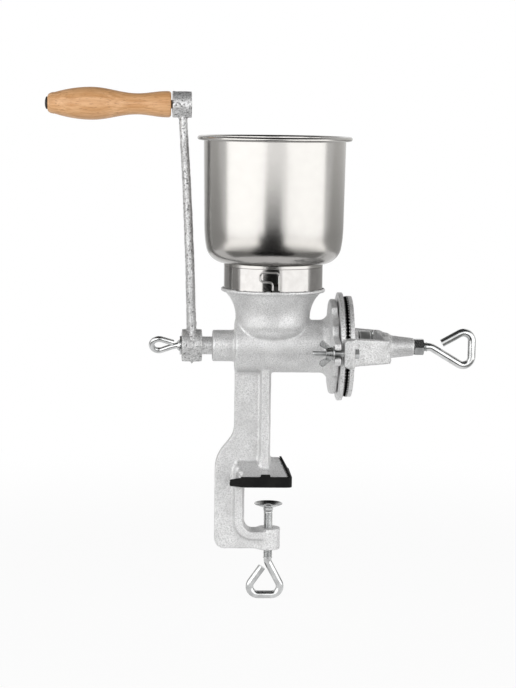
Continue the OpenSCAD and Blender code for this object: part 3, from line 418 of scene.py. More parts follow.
    def set_world(self, scene):
        """A pale room under a dark ceiling, as the upper edges of the metal show."""
        world = bpy.data.worlds.new("studio")
        scene.world = world
        tree = bare_tree(world)
        way = add_node(tree, "ShaderNodeTexCoord").outputs["Generated"]
        parts = add_node(tree, "ShaderNodeSeparateXYZ", links={"Vector": way})
        ceiling = add_node(tree, "ShaderNodeMapRange",
                           {"interpolation_type": "SMOOTHSTEP", "From Min": 0.25, "From Max": 0.65},
                           {"Value": parts.outputs["Z"]})
        room = add_node(tree, "ShaderNodeMix",
                        {"data_type": "RGBA", 6: linear("#FFFFFF"), 7: linear("#3A3A3A")},
                        {0: ceiling})
        light = add_node(tree, "ShaderNodeBackground", {"Strength": 1.0}, {"Color": room.outputs[2]})
        add_node(tree, "ShaderNodeOutputWorld", links={"Surface": light})


# Ways of making


def only(piece):
    """Leaves one piece selected and active, in object mode."""
    if bpy.context.mode != "OBJECT":
        bpy.ops.object.mode_set(mode="OBJECT")
    bpy.ops.object.select_all(action="DESELECT")
    if piece:
        piece.select_set(True)
        bpy.context.view_layer.objects.active = piece
    return piece


def edit_all(piece):
    """Opens a piece in edit mode with all of it selected."""
    only(piece)
    bpy.ops.object.mode_set(mode="EDIT")
    bpy.ops.mesh.select_all(action="SELECT")


def close_up(piece):
    """Merges what lies together, turns the faces outward and leaves edit mode."""
    edit_all(piece)
    bpy.ops.mesh.remove_doubles(threshold=0.002 * MM)
    bpy.ops.mesh.normals_make_consistent(inside=False)
    bpy.ops.object.mode_set(mode="OBJECT")
    return piece


def modify(piece, kind, **settings):
    """Adds one modifier to a piece and applies it."""
    only(piece)
    modifier = piece.modifiers.new(kind.lower(), kind)
    for key, value in settings.items():
        setattr(modifier, key, value)
    bpy.ops.object.modifier_apply(modifier=modifier.name)
    return piece


def copy_of(node, name):
    """A new piece with a merged copy of a solid's mesh."""
    piece = bpy.data.objects.new(name, frame["nodes"][node].data.copy())
    bpy.context.scene.collection.objects.link(piece)
    edit_all(piece)
    bpy.ops.mesh.customdata_custom_splitnormals_clear()
    bpy.ops.mesh.remove_doubles(threshold=0.002 * MM)
    bpy.ops.object.mode_set(mode="OBJECT")
    return piece


def soften(piece, voxel_mm, rounds):
    """Rounds every edge of a piece as a mould does, by a fine remesh and smoothing."""
    modify(piece, "REMESH", mode="VOXEL", voxel_size=voxel_mm * MM, adaptivity=0.0)
    return modify(piece, "SMOOTH", factor=0.5, iterations=rounds)


def lumps(piece, size_mm, height_mm):
    """Makes a casting's skin uneven, as its sand mould was."""
    cloud = bpy.data.textures.new(piece.name + "_lumps", "CLOUDS")
    cloud.noise_scale = size_mm * MM
    cloud.noise_depth = 2
    modify(piece, "DISPLACE", texture=cloud, strength=height_mm * MM, mid_level=0.5, texture_coords="GLOBAL")
    bpy.data.textures.remove(cloud)
    return piece


def drawn_line(name, points):
    """A line of edges through points, extruded from one vertex."""
    only(None)
    bpy.ops.mesh.primitive_plane_add(size=MM)
    piece = bpy.context.object
    piece.name = name
    edit_all(piece)
    bpy.ops.mesh.merge(type="CENTER")
    bpy.ops.transform.translate(value=points[0])
    for here, there in zip(points, points[1:]):
        bpy.ops.mesh.extrude_region_move(TRANSFORM_OT_translate={"value": there - here})
    return piece


def filled(name, points):
    """A flat face inside a line through points, left in edit mode."""
    piece = drawn_line(name, points)
    bpy.ops.mesh.select_all(action="SELECT")
    bpy.ops.mesh.edge_face_add()
    return piece


def prism(name, points, way):
    """A solid drawn out of a flat face."""
    piece = filled(name, points)
    bpy.ops.mesh.extrude_region_move(TRANSFORM_OT_translate={"value": way})
    return close_up(piece)


def turned(name, profile, axis, centre, steps=96):
    """Spins a profile of (radius, place along the axis) pairs in millimetres."""
    if axis == "X":
        points = [Vector((a * MM, centre[1], centre[2] + r * MM)) for r, a in profile]
    else:
        points = [Vector((centre[0] + r * MM, centre[1], a * MM)) for r, a in profile]
    piece = drawn_line(name, points)
    bpy.ops.mesh.select_all(action="SELECT")
    spin_axis = (1, 0, 0) if axis == "X" else (0, 0, 1)
    bpy.ops.mesh.spin(steps=steps, angle=FULL_TURN, center=centre, axis=spin_axis)
    return close_up(piece)


def dome(radius, foot, rise, count):
    """(radius, along) points over a rounded end, from its edge to the axis."""
    angles = [math.pi / 2 * i / count for i in range(count)]
    return [(radius * math.cos(a), foot + rise * math.sin(a)) for a in angles] + [(0, foot + rise)]


def arc(centre, radius, start, end, count=8):
    """(radius, along) points on an arc, its angles in degrees."""
    angles = [math.radians(start + (end - start) * i / count) for i in range(count + 1)]
    return [(centre[0] + radius * math.cos(a), centre[1] + radius * math.sin(a)) for a in angles]


def rounded_route(points, bend, count=10):
    """A route whose inner corners are rounded by one bend radius."""
    route = [points[0]]
    for before, at, after in zip(points, points[1:], points[2:]):
        back, on = (before - at).normalized(), (after - at).normalized()
        half = back.angle(on) / 2
        reach = bend / math.tan(half)
        middle = at + (back + on).normalized() * bend / math.sin(half)
        start, end = at + back * reach - middle, at + on * reach - middle
        route += [middle + bend * start.slerp(end, i / count).normalized() for i in range(count + 1)]
    return route + [points[-1]]


def swept_rod(name, route, radius):
    """A round rod that follows every point of a route."""
    only(drawn_line(name, route))
    bpy.ops.object.convert(target="CURVE")
    line = bpy.context.object
    line.data.bevel_depth = radius
    line.data.bevel_resolution = 6
    line.data.use_fill_caps = True
    bpy.ops.object.convert(target="MESH")
    return close_up(bpy.context.object)


def threaded_bar(name, sizes_mm, at, turn=(0, 0, 0), bare_foot=0.0, bare_head=0.0):
    """A bar of a radius, pitch and length, made up +Z and then laid in its place, with a
    right-hand thread rolled between its bare ends."""
    radius, pitch, length, bare_foot, bare_head = (size * MM for size in (*sizes_mm, bare_foot, bare_head))
    rows_per_pitch, sides, depth = 8, 32, 0.6 * pitch
    only(None)
    bpy.ops.mesh.primitive_circle_add(vertices=sides, radius=radius, fill_type="NGON")
    bar = bpy.context.object
    bar.name = name
    edit_all(bar)
    rows = round(length / pitch * rows_per_pitch)
    for _ in range(rows):
        bpy.ops.mesh.extrude_region_move(TRANSFORM_OT_translate={"value": (0, 0, length / rows)})
    close_up(bar)
    for point in bar.data.vertices:
        along, out = point.co.z, math.hypot(point.co.x, point.co.y)
        phase = (along / pitch - math.atan2(point.co.y, point.co.x) / FULL_TURN) % 1.0
        run_in = min((along - bare_foot) / pitch, (length - bare_head - along) / pitch, 1.0)
        cut = depth * max(run_in, 0.0) * (1 - abs(2 * phase - 1))
        if out > radius / 2:
            point.co.x *= (out - cut) / out
            point.co.y *= (out - cut) / out
    return lay(bar, at, turn)


def lay(piece, at, turn=(0, 0, 0)):
    """Puts a piece in its place and leaves the place in its mesh."""
    only(piece)
    piece.rotation_euler = [math.radians(angle) for angle in turn]
    piece.location = at
    bpy.ops.object.transform_apply(location=True, rotation=True, scale=True)
    return piece


def block(size, at, turn=(0, 0, 0)):
    """A box, its size and its middle in millimetres."""
    only(None)
    bpy.ops.mesh.primitive_cube_add(size=MM)
    bpy.context.object.scale = size
    return lay(bpy.context.object, [place * MM for place in at], turn)


def combine(piece, way, *others):
    """Joins closed pieces (UNION), cuts them out (DIFFERENCE) or keeps what lies in them (INTERSECT)."""
    for other in others:
        modify(piece, "BOOLEAN", operation=way, solver="EXACT", object=other)
        bpy.data.objects.remove(other)
    return piece


def hexagon_head(name, start, end, corner_r, centre, both_ends):
    """A hexagon along X whose corners are turned off at 30 degrees."""
    only(None)
    bpy.ops.mesh.primitive_cylinder_add(vertices=6, radius=corner_r * MM, depth=(end - start) * MM)
    head = bpy.context.object
    head.name = name
    lay(head, ((start + end) / 2 * MM, centre[1], centre[2]), ALONG_X)
    flat_r, big = HEX_FLAT * corner_r, corner_r + 2
    slope = (big - flat_r) * math.tan(math.radians(30))
    foot = [(flat_r, start - 0.01), (big, start + slope)] if both_ends else [(big, start - 0.01)]
    profile = [(0, start - 0.01)] + foot + [(big, end - slope), (flat_r, end + 0.01), (0, end + 0.01)]
    return combine(head, "INTERSECT", turned(name + "_lathe", profile, "X", centre, 96))


def washer(name, node, bore, centre, edge=0.25):
    """A turned ring along X in the place of a solid, its outer edges rounded."""
    start, end = ends_of(node, "X")
    low, high = ends_of(node, "Z")
    r = (high - low) / 2
    profile = [(bore, start), (r - edge, start)] + arc((r - edge, start + edge), edge, -90, 0, 4)
    profile += arc((r - edge, end - edge), edge, 0, 90, 4) + [(bore, end), (bore, start)]
    return turned(name, profile, "X", centre, 64)


def dress(piece, body, slot, finish, *nodes, sharp_deg=40):
    """Shades a piece, gives it its finish, ties it to its body and hides its solids."""
    only(piece)
    bpy.ops.object.shade_smooth_by_angle(angle=math.radians(sharp_deg))
    piece.data.materials.clear()
    piece.data.materials.append(FINISHES[finish])
    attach(piece, body)
    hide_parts(*nodes)
    return piece


def ends_of(node, axis):
    """Where a solid starts and ends along X, Y or Z, in millimetres."""
    low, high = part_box(node)
    i = "XYZ".index(axis)
    return low[i] * PER_MM, high[i] * PER_MM


# Pieces


class MILL_OT_castings(bpy.types.Operator):
    """Cast the body, the yoke and the crank"""
    bl_idname = "mill.castings"
    bl_label = "Castings"

    # Jaw: height of the ridge, fall to each side, and where the slopes run
    ridge_z, slope, slope_x, slope_y, slope_clear = 23.4, 0.695, (-34.0, -9.2), (5.2, 14.0), 4.0
    # Yoke: its nose and the hollow at the end of each arm
    nose_len, arm_gap, scoop_r, scoop_depth, scoop_from, scoop_len = 22.4, 2.5, 12.5, 3.4, 38.5, 24.0
    # Crank: its lower boss and the nub of flash under it
    boss_from_washer, crank_boss_r, flash_h, flash_r = 8.7, 13.7, 2.2, (0.5, 2.4)

    def execute(self, context):
        lump_mm = context.scene.mill_sizes.cast_lumps * PER_MM
        body = lumps(soften(self.sloped_body(), 1.0, 3), 9, lump_mm)
        dress(body, "frame", "tinned_iron", "tinned_iron", "mill_body", sharp_deg=70)
        yoke = lumps(soften(self.scooped_yoke(), 0.7, 4), 6, lump_mm)
        dress(yoke, "frame", "tinned_iron", "yoke_iron", "yoke", sharp_deg=70)
        crank = lumps(soften(self.flashed_crank(), 0.6, 5), 5, 2.4 * lump_mm)
        dress(crank, "rotor", "tinned_iron", "crank_iron", "crank_arm", sharp_deg=70)
        return {"FINISHED"}

    def sloped_body(self):
        """The body with the jaw's slopes carried up to the web, over the clamp's rib."""
        body = copy_of("mill_body", "body_casting")
        left, right = self.slope_x
        inner, outer = self.slope_y
        top = self.ridge_z + self.slope_clear
        corners = ((outer, self.ridge_z - self.slope * outer), (inner, self.ridge_z - self.slope * inner),
                   (inner, top), (outer, top))
        for side in (-1, 1):
            points = [Vector((left * MM, side * y * MM, z * MM)) for y, z in corners]
            combine(body, "DIFFERENCE", prism("slope_tool", points, ((right - left) * MM, 0, 0)))
        return body

    def scooped_yoke(self):
        """The yoke with the end of each arm hollowed towards the nose."""
        yoke = copy_of("yoke", "yoke_casting")
        end = ends_of("yoke", "X")[1] - self.nose_len - self.arm_gap
        for side in (-1, 1):
            only(None)
            bpy.ops.mesh.primitive_cylinder_add(vertices=64, radius=self.scoop_r * MM,
                                                depth=self.scoop_len * MM)
            tool = lay(bpy.context.object, ((end + self.scoop_r - self.scoop_depth) * MM,
                                            side * (self.scoop_from + self.scoop_len / 2) * MM, SHAFT_Z),
                       (90, 0, 0))
            combine(yoke, "DIFFERENCE", tool)
        return yoke

    def flashed_crank(self):
        """The crank with the nub of flash that is left under its lower boss."""
        crank = copy_of("crank_arm", "crank_casting")
        boss_x = ends_of("crank_washer", "X")[1] + self.boss_from_washer
        only(None)
        bpy.ops.mesh.primitive_cone_add(vertices=16, radius1=self.flash_r[0] * MM,
                                        radius2=self.flash_r[1] * MM, depth=2 * self.flash_h * MM)
        nub = lay(bpy.context.object, (boss_x * MM, 0, SHAFT_Z - self.crank_boss_r * MM))
        return combine(crank, "UNION", nub)


class MILL_OT_pad(bpy.types.Operator):
    """Mould the rubber pad of the jaw"""
    bl_idname = "mill.pad"
    bl_label = "Rubber pad"

    tab_size, tab_x, tab_top = (8.0, 3.6, 6.0), -4.0, 10.8
    # The walls of the fork, which are lower at its ends, and the block that levels the raised end
    fork_start, fork_end, wall, lip, fork_drop = (-21.0, 24.2), (-34.0, 16.4), 1.8, 9.0, 3.4
    end_top, trim_size, trim_x = 22.6, (40.0, 60.0, 10.0), 10.0

    def execute(self, context):
        pad = copy_of("clamp_pad", "rubber_pad")
        low, high = ends_of("clamp_pad", "Y")
        for edge, inward in ((low, 1), (high, -1)):
            middle = edge + inward * (self.tab_size[1] / 2 + 0.05)
            tab = block(self.tab_size, (self.tab_x, middle, self.tab_top - self.tab_size[2] / 2))
            combine(pad, "UNION", tab, self.fork_wall(-inward))
        trim = block(self.trim_size, (self.trim_x, 0, self.end_top + self.trim_size[2] / 2))
        combine(pad, "DIFFERENCE", trim)
        soften(pad, 0.45, 3)
        dress(pad, "frame", "black_rubber", "black_rubber", "clamp_pad", sharp_deg=70)
        return {"FINISHED"}

    def fork_wall(self, side):
        """The lip along one prong of the pad, lower towards the prong's end."""
        (x0, y0), (x1, y1) = self.fork_start, self.fork_end
        length, turn = math.hypot(x1 - x0, y1 - y0), math.atan2(side * (y1 - y0), x1 - x0)
        inset = self.wall / 2 + 0.1
        middle = ((x0 + x1) / 2 + inset * (y0 - y1) / length,
                  side * ((y0 + y1) / 2 - inset * (x0 - x1) / length), self.lip / 2 + 0.1)
        lip = block((length, self.wall, self.lip - 0.4), middle, (0, 0, math.degrees(turn)))
        for corner in lip.data.vertices:
            if corner.co.z > self.lip / 2 * MM and corner.co.x < (x0 + x1) / 2 * MM:
                corner.co.z -= self.fork_drop * MM
        return lip


class MILL_OT_plates(bpy.types.Operator):
    """Cast the grinding plates and turn the worm shaft"""
    bl_idname = "mill.plates"
    bl_label = "Plates and worm"

    def execute(self, context):
        for node, body, toothed in (("stationary_plate", "frame", 1), ("rotating_plate", "rotor", -1)):
            plate = copy_of(node, node + "_casting")
            modify(plate, "BEVEL", width=0.35 * MM, segments=2, limit_method="ANGLE",
                   angle_limit=math.radians(50), use_clamp_overlap=True)
            dress(plate, body, "plate_iron", "plate_iron", node, sharp_deg=35)
            # The faces that face the other plate take the black finish: painted shade in the gap between the
            # plates
            plate.data.materials.append(FINISHES["black_steel_and_shade"])
            for face in plate.data.polygons:
                face.material_index = int(face.normal.x * toothed > 0.25)
        worm = copy_of("auger", "worm_shaft")
        dress(worm, "rotor", "plate_iron", "plate_iron", "auger", sharp_deg=40)
        return {"FINISHED"}


class MILL_OT_hopper(bpy.types.Operator):
    """Spin the hopper's bowl and make its slotted neck"""
    bl_idname = "mill.hopper"
    bl_label = "Hopper"

    # Bowl: its wall, the rolled rim, and the slow bow between the knee and the wall
    wall_foot_r, wall_top_r, knee_bend, knee_rise = 57.35, 59.9, 16.0, 2.2
    roll_r, roll_w = 1.9, 6.4
    bow_deg, bow_len = 12.0, 24.0
    # Neck: the bead round its slot, and the slot
    bead_r, bead_foot, edge = 0.75, 168.9, 0.3
    slot_w, slot_reach, slot_top, slot_cross, slot_corner = 5.2, 16.0, 2.8, 8.0, 3.2

    def execute(self, context):
        self.sheet = context.scene.mill_sizes.bowl_sheet * PER_MM
        left, right = ends_of("hopper_collar", "X")
        neck_low, neck_top = ends_of("hopper_collar", "Z")
        self.centre = ((left + right) / 2 * MM, 0, 0)
        self.neck_r = (right - left) / 2
        self.make_bowl(neck_top)
        self.make_neck(neck_low, neck_top)
        return {"FINISHED"}

    def make_bowl(self, neck_top):
        low, top = ends_of("hopper_bowl", "Z")
        seat = neck_top + 0.2
        roll_z = top - self.roll_r
        under_z = roll_z - self.roll_r
        roll_in = (self.wall_top_r - self.sheet + self.roll_r, roll_z)
        roll_out = (roll_in[0] + self.roll_w - 2 * self.roll_r, roll_z)
        tube_r = self.neck_r - self.sheet - 0.03
        knee_r = self.wall_foot_r - self.knee_bend
        start = -math.degrees(math.acos((self.neck_r - knee_r) / self.knee_bend))
        knee = (knee_r, seat + self.knee_rise - self.knee_bend * math.sin(math.radians(start)))
        low = min(low, neck_top - self.slot_top - self.slot_cross - 1)
        profile = [(tube_r, low), (tube_r, seat), (self.neck_r, seat)]
        profile += arc(knee, self.knee_bend, start, -self.bow_deg, 24)
        wall = self.bowed_wall(profile[-1], under_z)
        profile += wall
        # The sheet is rolled outward into a flat bead, open underneath
        profile += [(roll_in[0] + 1.1, under_z + 0.9), (roll_out[0] - 0.8, under_z + 0.9)]
        profile += arc(roll_out, self.roll_r, -100, 90, 16) + arc(roll_in, self.roll_r, 90, 180, 8)
        inner = [(r - self.sheet, z) for r, z in wall[:-1]][::-1]
        profile += inner + arc(knee, self.knee_bend - self.sheet, -self.bow_deg, start, 24)
        profile += [(tube_r - self.sheet, seat + 1), (tube_r - self.sheet, low), (tube_r, low)]
        bowl = turned("spun_bowl", profile, "Z", self.centre, 160)
        dress(bowl, "hopper", "satin_steel", "satin_steel", "hopper_bowl", sharp_deg=35)
        bowl.data.materials.append(FINISHES["polished_steel"])
        for face in bowl.data.polygons:
            face.material_index = int(face.center.z < seat * MM)

    def bowed_wall(self, foot, top_z, count=24):
        """Radii up the wall, which leaves the knee in a slow bow and runs straight to the rim."""
        lean, height = math.tan(math.radians(self.bow_deg)), top_z - foot[1]
        rise = self.wall_top_r - foot[0]
        slope = (rise - lean * self.bow_len / 3) / (height - self.bow_len / 3)
        wall = []
        for i in range(1, count + 1):
            up = height * (i / count) ** 1.6
            left = max(0.0, 1 - up / self.bow_len)
            bow = (lean - slope) * self.bow_len / 3 * (1 - left ** 3)
            wall.append((foot[0] + slope * up + bow, foot[1] + up))
        return wall

    def make_neck(self, low, top):
        rows, inner_r, edge_r = 21, self.neck_r - self.sheet, self.neck_r - self.edge
        outer = [(self.neck_r, low + self.edge)]
        outer += [(self.neck_r, low + (top - low) * i / rows) for i in range(1, rows)]
        outer += [(self.neck_r, top - self.edge), (edge_r, top), (inner_r, top)]
        inner = [(inner_r, top - (top - low) * i / rows) for i in range(1, rows)]
        inner += [(inner_r, low), (edge_r, low), outer[0]]
        neck = turned("polished_neck", outer + inner, "Z", self.centre, 180)
        half, cross_top = self.slot_w / 2, top - self.slot_top
        cross_low = cross_top - self.slot_cross
        corners = [(half, low - 3), (half, cross_top), (half - self.slot_reach, cross_top),
                   (half - self.slot_reach, cross_low), (-half, cross_low), (-half, low - 3)]
        front = -(self.neck_r + 3) * MM
        points = [Vector((self.centre[0] + x * MM, front, z * MM)) for x, z in corners]
        route = rounded_route(points, self.slot_corner * MM, 6)
        combine(neck, "DIFFERENCE", prism("slot_tool", route, (0, 8 * MM, 0)))
        corners[0], corners[-1] = (half, self.bead_foot), (-half, self.bead_foot)
        combine(neck, "UNION", self.slot_bead(corners))
        dress(neck, "hopper", "polished_steel", "polished_steel", "hopper_collar", sharp_deg=35)
        # The slot's folded edge takes a duller, lighter finish than the neck: a painted highlight along the
        # edge
        neck.data.materials.append(FINISHES["dull_zinc"])
        for face in neck.data.polygons:
            outward = Vector((face.center.x - self.centre[0], face.center.y, 0)).normalized()
            inside = low + 0.6 < face.center.z * PER_MM < top - 0.6
            face.material_index = int(inside and abs(face.normal.dot(outward)) < 0.6)

    def slot_bead(self, corners):
        """The slot's edge, folded into a thin bead that lies round the neck."""
        flat = rounded_route([Vector((x * MM, 0, z * MM)) for x, z in corners], self.slot_corner * MM, 6)
        route, r = [flat[0]], self.neck_r * MM
        for here, there in zip(flat, flat[1:]):
            parts = max(1, round((there - here).length / MM))
            route += [here.lerp(there, i / parts) for i in range(1, parts + 1)]
        route = [Vector((self.centre[0] + at.x, -math.sqrt(r * r - at.x * at.x), at.z)) for at in route]
        return swept_rod("slot_bead", route, self.bead_r * MM)


class MILL_OT_handle(bpy.types.Operator):
    """Turn the wooden grip and rivet its spindle"""
    bl_idname = "mill.handle"
    bl_label = "Handle"

    pin_r, collar_r, head_r = 2.5, 3.6, 5.4

    def execute(self, context):
        waist_r = context.scene.mill_sizes.grip_waist * PER_MM
        out, start = ends_of("wood_handle", "X")
        low, high = ends_of("wood_handle", "Z")
        grip_r, length = (high - low) / 2, start - out
        centre = (0, 0, GRIP_Z)
        shoulder, tail = 0.8 * grip_r, 0.66 * grip_r
        waist, belly, end = start - 0.275 * length, start - 0.645 * length, out + 6
        bore = self.pin_r + 0.06
        profile = [(bore, start)] + arc((shoulder - 2.2, start - 2.2), 2.2, 90, 0)
        profile += self.swell(start - 3.2, shoulder, waist, waist_r)
        profile += self.swell(waist, waist_r, belly, grip_r)
        profile += [(grip_r + (tail - grip_r) * (i / 14) ** 2, belly + (end - belly) * i / 14)
                    for i in range(1, 15)]
        profile += [(tail - 3.2 * (1 - math.cos(a)), end + (out - end) * math.sin(a))
                    for a in (math.pi / 2 * i / 8 for i in range(1, 9))]
        profile += [(bore, out), (bore, start)]
        grip = turned("beech_grip", profile, "X", centre, 96)
        dress(grip, "grip", "beech", "beech", "wood_handle", sharp_deg=35)
        self.make_spindle(centre)
        return {"FINISHED"}

    def swell(self, x0, r0, x1, r1, count=16):
        """A smooth run of radii from one station to the next."""
        return [(r0 + (r1 - r0) * (1 - math.cos(math.pi * i / count)) / 2, x0 + (x1 - x0) * i / count)
                for i in range(1, count + 1)]

    def make_spindle(self, centre):
        out, start = ends_of("handle_spindle", "X")
        wood_end, wood_start = ends_of("wood_handle", "X")
        pin_r, collar_r, head_x = self.pin_r, self.collar_r, wood_end - 0.2
        dome_x = head_x - 0.4
        profile = [(0, start), (1.8, start), (pin_r, start - 0.6), (pin_r, wood_start + 1.15)]
        profile += [(collar_r, wood_start + 1.1), (collar_r, wood_start + 0.1), (pin_r, wood_start + 0.05)]
        profile += [(pin_r, head_x), (self.head_r - 0.3, head_x)]
        profile += dome(self.head_r, dome_x, out - dome_x, 8)
        spindle = turned("riveted_spindle", profile, "X", centre, 48)
        dress(spindle, "rotor", "zinc_steel", "black_steel_and_shade", "handle_spindle", sharp_deg=35)


class MILL_OT_clamp_screw(bpy.types.Operator):
    """Thread and bend the clamp screw and press its cup"""
    bl_idname = "mill.clamp_screw"
    bl_label = "Clamp screw"

    screw_r, pitch = 4.0, 1.25
    thread_left, loop_h, loop_w = 8.1, 32.4, 37.4
    cup_neck = 2.3

    def execute(self, context):
        wire_r = context.scene.mill_sizes.loop_wire * PER_MM
        cup_low, cup_top = ends_of("clamp_cup", "Z")
        thread_end = ends_of("mill_body", "Z")[0] - self.thread_left
        length = cup_low - 0.2 - thread_end
        bar = threaded_bar("clamp_screw_rod", (self.screw_r, self.pitch, length), (0, 0, thread_end * MM),
                           bare_head=1.2)
        pin_r, rivet = self.screw_r - 1, cup_low + self.cup_neck + 1.1
        profile = [(0, cup_low - 1), (pin_r, cup_low - 1), (pin_r, rivet)] + dome(pin_r + 1.2, rivet, 1.6, 6)
        pin = turned("clamp_rivet", profile, "Z", (0, 0, 0), 40)
        right = 0.415 * self.loop_w
        route = [(0, 1), (0, -0.1 * self.loop_h), (right, -self.loop_h),
                 (right - self.loop_w, -self.loop_h), (-0.3 * right, -self.loop_h / 4)]
        points = [Vector((x * MM, 0, (thread_end + z) * MM)) for x, z in route]
        loop = swept_rod("clamp_loop", rounded_route(points, (2 * wire_r + 0.3) * MM), wire_r * MM)
        combine(bar, "UNION", pin, loop)
        dress(bar, "vice_screw", "zinc_steel", "zinc_steel", "clamp_screw", sharp_deg=50)
        self.make_cup(cup_low, cup_top)
        return {"FINISHED"}

    def make_cup(self, low, top):
        left, right = ends_of("clamp_cup", "X")
        rim_r = (right - left) / 2
        bore, neck, dish = self.screw_r - 1 + 0.06, self.screw_r + 0.35, low + self.cup_neck
        profile = [(bore, low), (neck - 0.3, low), (neck, low + 0.3), (neck, dish - 0.3)]
        profile += [(neck + (rim_r - 0.7 - neck) * i / 8, dish + (top - 1.1 - dish) * (i / 8) ** 1.3)
                    for i in range(9)]
        profile += arc((rim_r - 0.55, top - 0.55), 0.55, -50, 120, 8)
        profile += [(rim_r - 2.2, top - 0.8), (neck + 2.4, dish + 1.35), (neck + 0.6, dish + 1.05)]
        profile += [(bore, dish + 1.0), (bore, low)]
        cup = turned("clamp_cup_pressing", profile, "Z", (0, 0, 0), 72)
        dress(cup, "cup", "zinc_steel", "cup_steel", "clamp_cup", sharp_deg=45)


class MILL_OT_adjusting_screw(bpy.types.Operator):
    """Thread and bend the adjusting screw and chamfer its lock nut"""
    bl_idname = "mill.adjusting_screw"
    bl_label = "Adjusting screw"

    screw_r, pitch = 4.0, 1.25
    key_reach, key_h, drop_share, end_rise = 38.5, 38.4, 0.5436, 0.5585
    nut_flats = 13.0

    def execute(self, context):
        wire_r = context.scene.mill_sizes.loop_wire * PER_MM
        nut_x, nut_end = ends_of("lock_nut", "X")
        tip, loop_x = ends_of("adjusting_screw", "X")[0], nut_end + 3
        bar = threaded_bar("adjusting_screw_rod", (self.screw_r, self.pitch, loop_x - tip),
                           (tip * MM, 0, SHAFT_Z), ALONG_X, bare_foot=2)
        drop = self.drop_share * self.key_h
        rise, end = self.key_h - drop, self.key_reach / 3
        route = [(-1, 0), (wire_r, 0), (self.key_reach, -drop), (self.key_reach, rise),
                 (end, rise - self.end_rise * (self.key_reach - end))]
        points = [Vector(((loop_x + x) * MM, 0, SHAFT_Z + z * MM)) for x, z in route]
        route = rounded_route(points, (2 * wire_r + 0.3) * MM)
        combine(bar, "UNION", swept_rod("adjusting_loop", route, wire_r * MM))
        dress(bar, "adjuster", "zinc_steel", "zinc_steel", "adjusting_screw", sharp_deg=50)
        low, high = ends_of("lock_nut", "Y")
        nut = hexagon_head("lock_nut_forging", nut_x, nut_end, max(high - low, self.nut_flats) / 2 / HEX_FLAT,
                           SHAFT, both_ends=True)
        bore, near, far = self.screw_r + 0.06, nut_x - 1, nut_end + 1
        combine(nut, "DIFFERENCE", turned("nut_bore", [(0, near), (bore, near), (bore, far), (0, far)],
                                          "X", SHAFT, 48))
        dress(nut, "jam_nut", "zinc_steel", "nut_steel", "lock_nut", sharp_deg=35)
        return {"FINISHED"}


class MILL_OT_thumb_screw(bpy.types.Operator):
    """Thread and bend the crank's thumb screw and stamp its washer"""
    bl_idname = "mill.thumb_screw"
    bl_label = "Thumb screw"

    screw_r, pitch, wire_r, bend = 3.0, 1.0, 2.5, 6.1
    eye_turn_deg, eye_len, eye_spread = 125, 21.5, 9.5

    def execute(self, context):
        washer_x = ends_of("crank_washer", "X")[0]
        neck, tip = washer_x - 2.2, ends_of("crank_thumb_screw", "X")[1]
        bar = threaded_bar("thumb_screw_rod", (self.screw_r, self.pitch, tip - neck),
                           (neck * MM, 0, SHAFT_Z), ALONG_X, bare_foot=1.5)
        profile = [(0, neck - 0.3), (3.2, neck - 0.3), (3.6, neck + 0.2), (4.9, washer_x - 0.5),
                   (4.7, washer_x - 0.1), (0, washer_x - 0.1)]
        shoulder = turned("thumb_shoulder", profile, "X", SHAFT, 48)
        far = neck - self.eye_len
        route = [(neck + 1, 0), (neck - 4.5, -1.5), (far, -self.eye_spread), (far, self.eye_spread),
                 (neck - 3.4, 2.9)]
        askew = math.radians(self.eye_turn_deg)
        points = [Vector((x * MM, y * math.cos(askew) * MM, SHAFT_Z + y * math.sin(askew) * MM))
                  for x, y in route]
        eye = swept_rod("thumb_eye", rounded_route(points, self.bend * MM), self.wire_r * MM)
        combine(bar, "UNION", shoulder, eye)
        dress(bar, "thumb_screw", "zinc_steel", "zinc_steel", "crank_thumb_screw", sharp_deg=50)
        ring = washer("thumb_washer_stamping", "crank_washer", self.screw_r + 0.05, SHAFT)
        dress(ring, "thumb_washer", "zinc_steel", "zinc_steel", "crank_washer", sharp_deg=35)
        return {"FINISHED"}


class MILL_OT_yoke_fasteners(bpy.types.Operator):
    """Make the yoke's bolts with their wing nuts and washers"""
    bl_idname = "mill.yoke_fasteners"
    bl_label = "Yoke fasteners"

    bolt_r, pitch, thread_len, head_len, head_corner_r = 2.5, 0.8, 24.0, 3.5, 4.6

    def execute(self, context):
        for name, side in (("front", -1), ("rear", 1)):
            centre = (0, side * BOLT_Y, SHAFT_Z)
            self.make_bolt(name, centre)
            nut = soften(copy_of(name + "_wing_nut", name + "_wing_nut_forging"), 0.3, 4)
            dress(nut, "nut_" + name, "zinc_steel", "nut_steel", name + "_wing_nut", sharp_deg=70)
            ring = washer(name + "_washer_stamping", name + "_washer", self.bolt_r + 0.05, centre)
            dress(ring, "washer_" + name, "zinc_steel", "dull_zinc", name + "_washer", sharp_deg=35)
        return {"FINISHED"}

    def make_bolt(self, name, centre):
        end, top = ends_of("yoke_bolts", "X")
        length = top - self.head_len - end + 1
        bolt = threaded_bar(name + "_bolt", (self.bolt_r, self.pitch, length), (end * MM, *centre[1:]), ALONG_X,
                            bare_head=length - self.thread_len)
        combine(bolt, "UNION", hexagon_head(name + "_bolt_head", top - self.head_len, top, self.head_corner_r,
                                  centre, both_ends=False))
        dress(bolt, "frame", "zinc_steel", "dull_zinc", "yoke_bolts", sharp_deg=40)


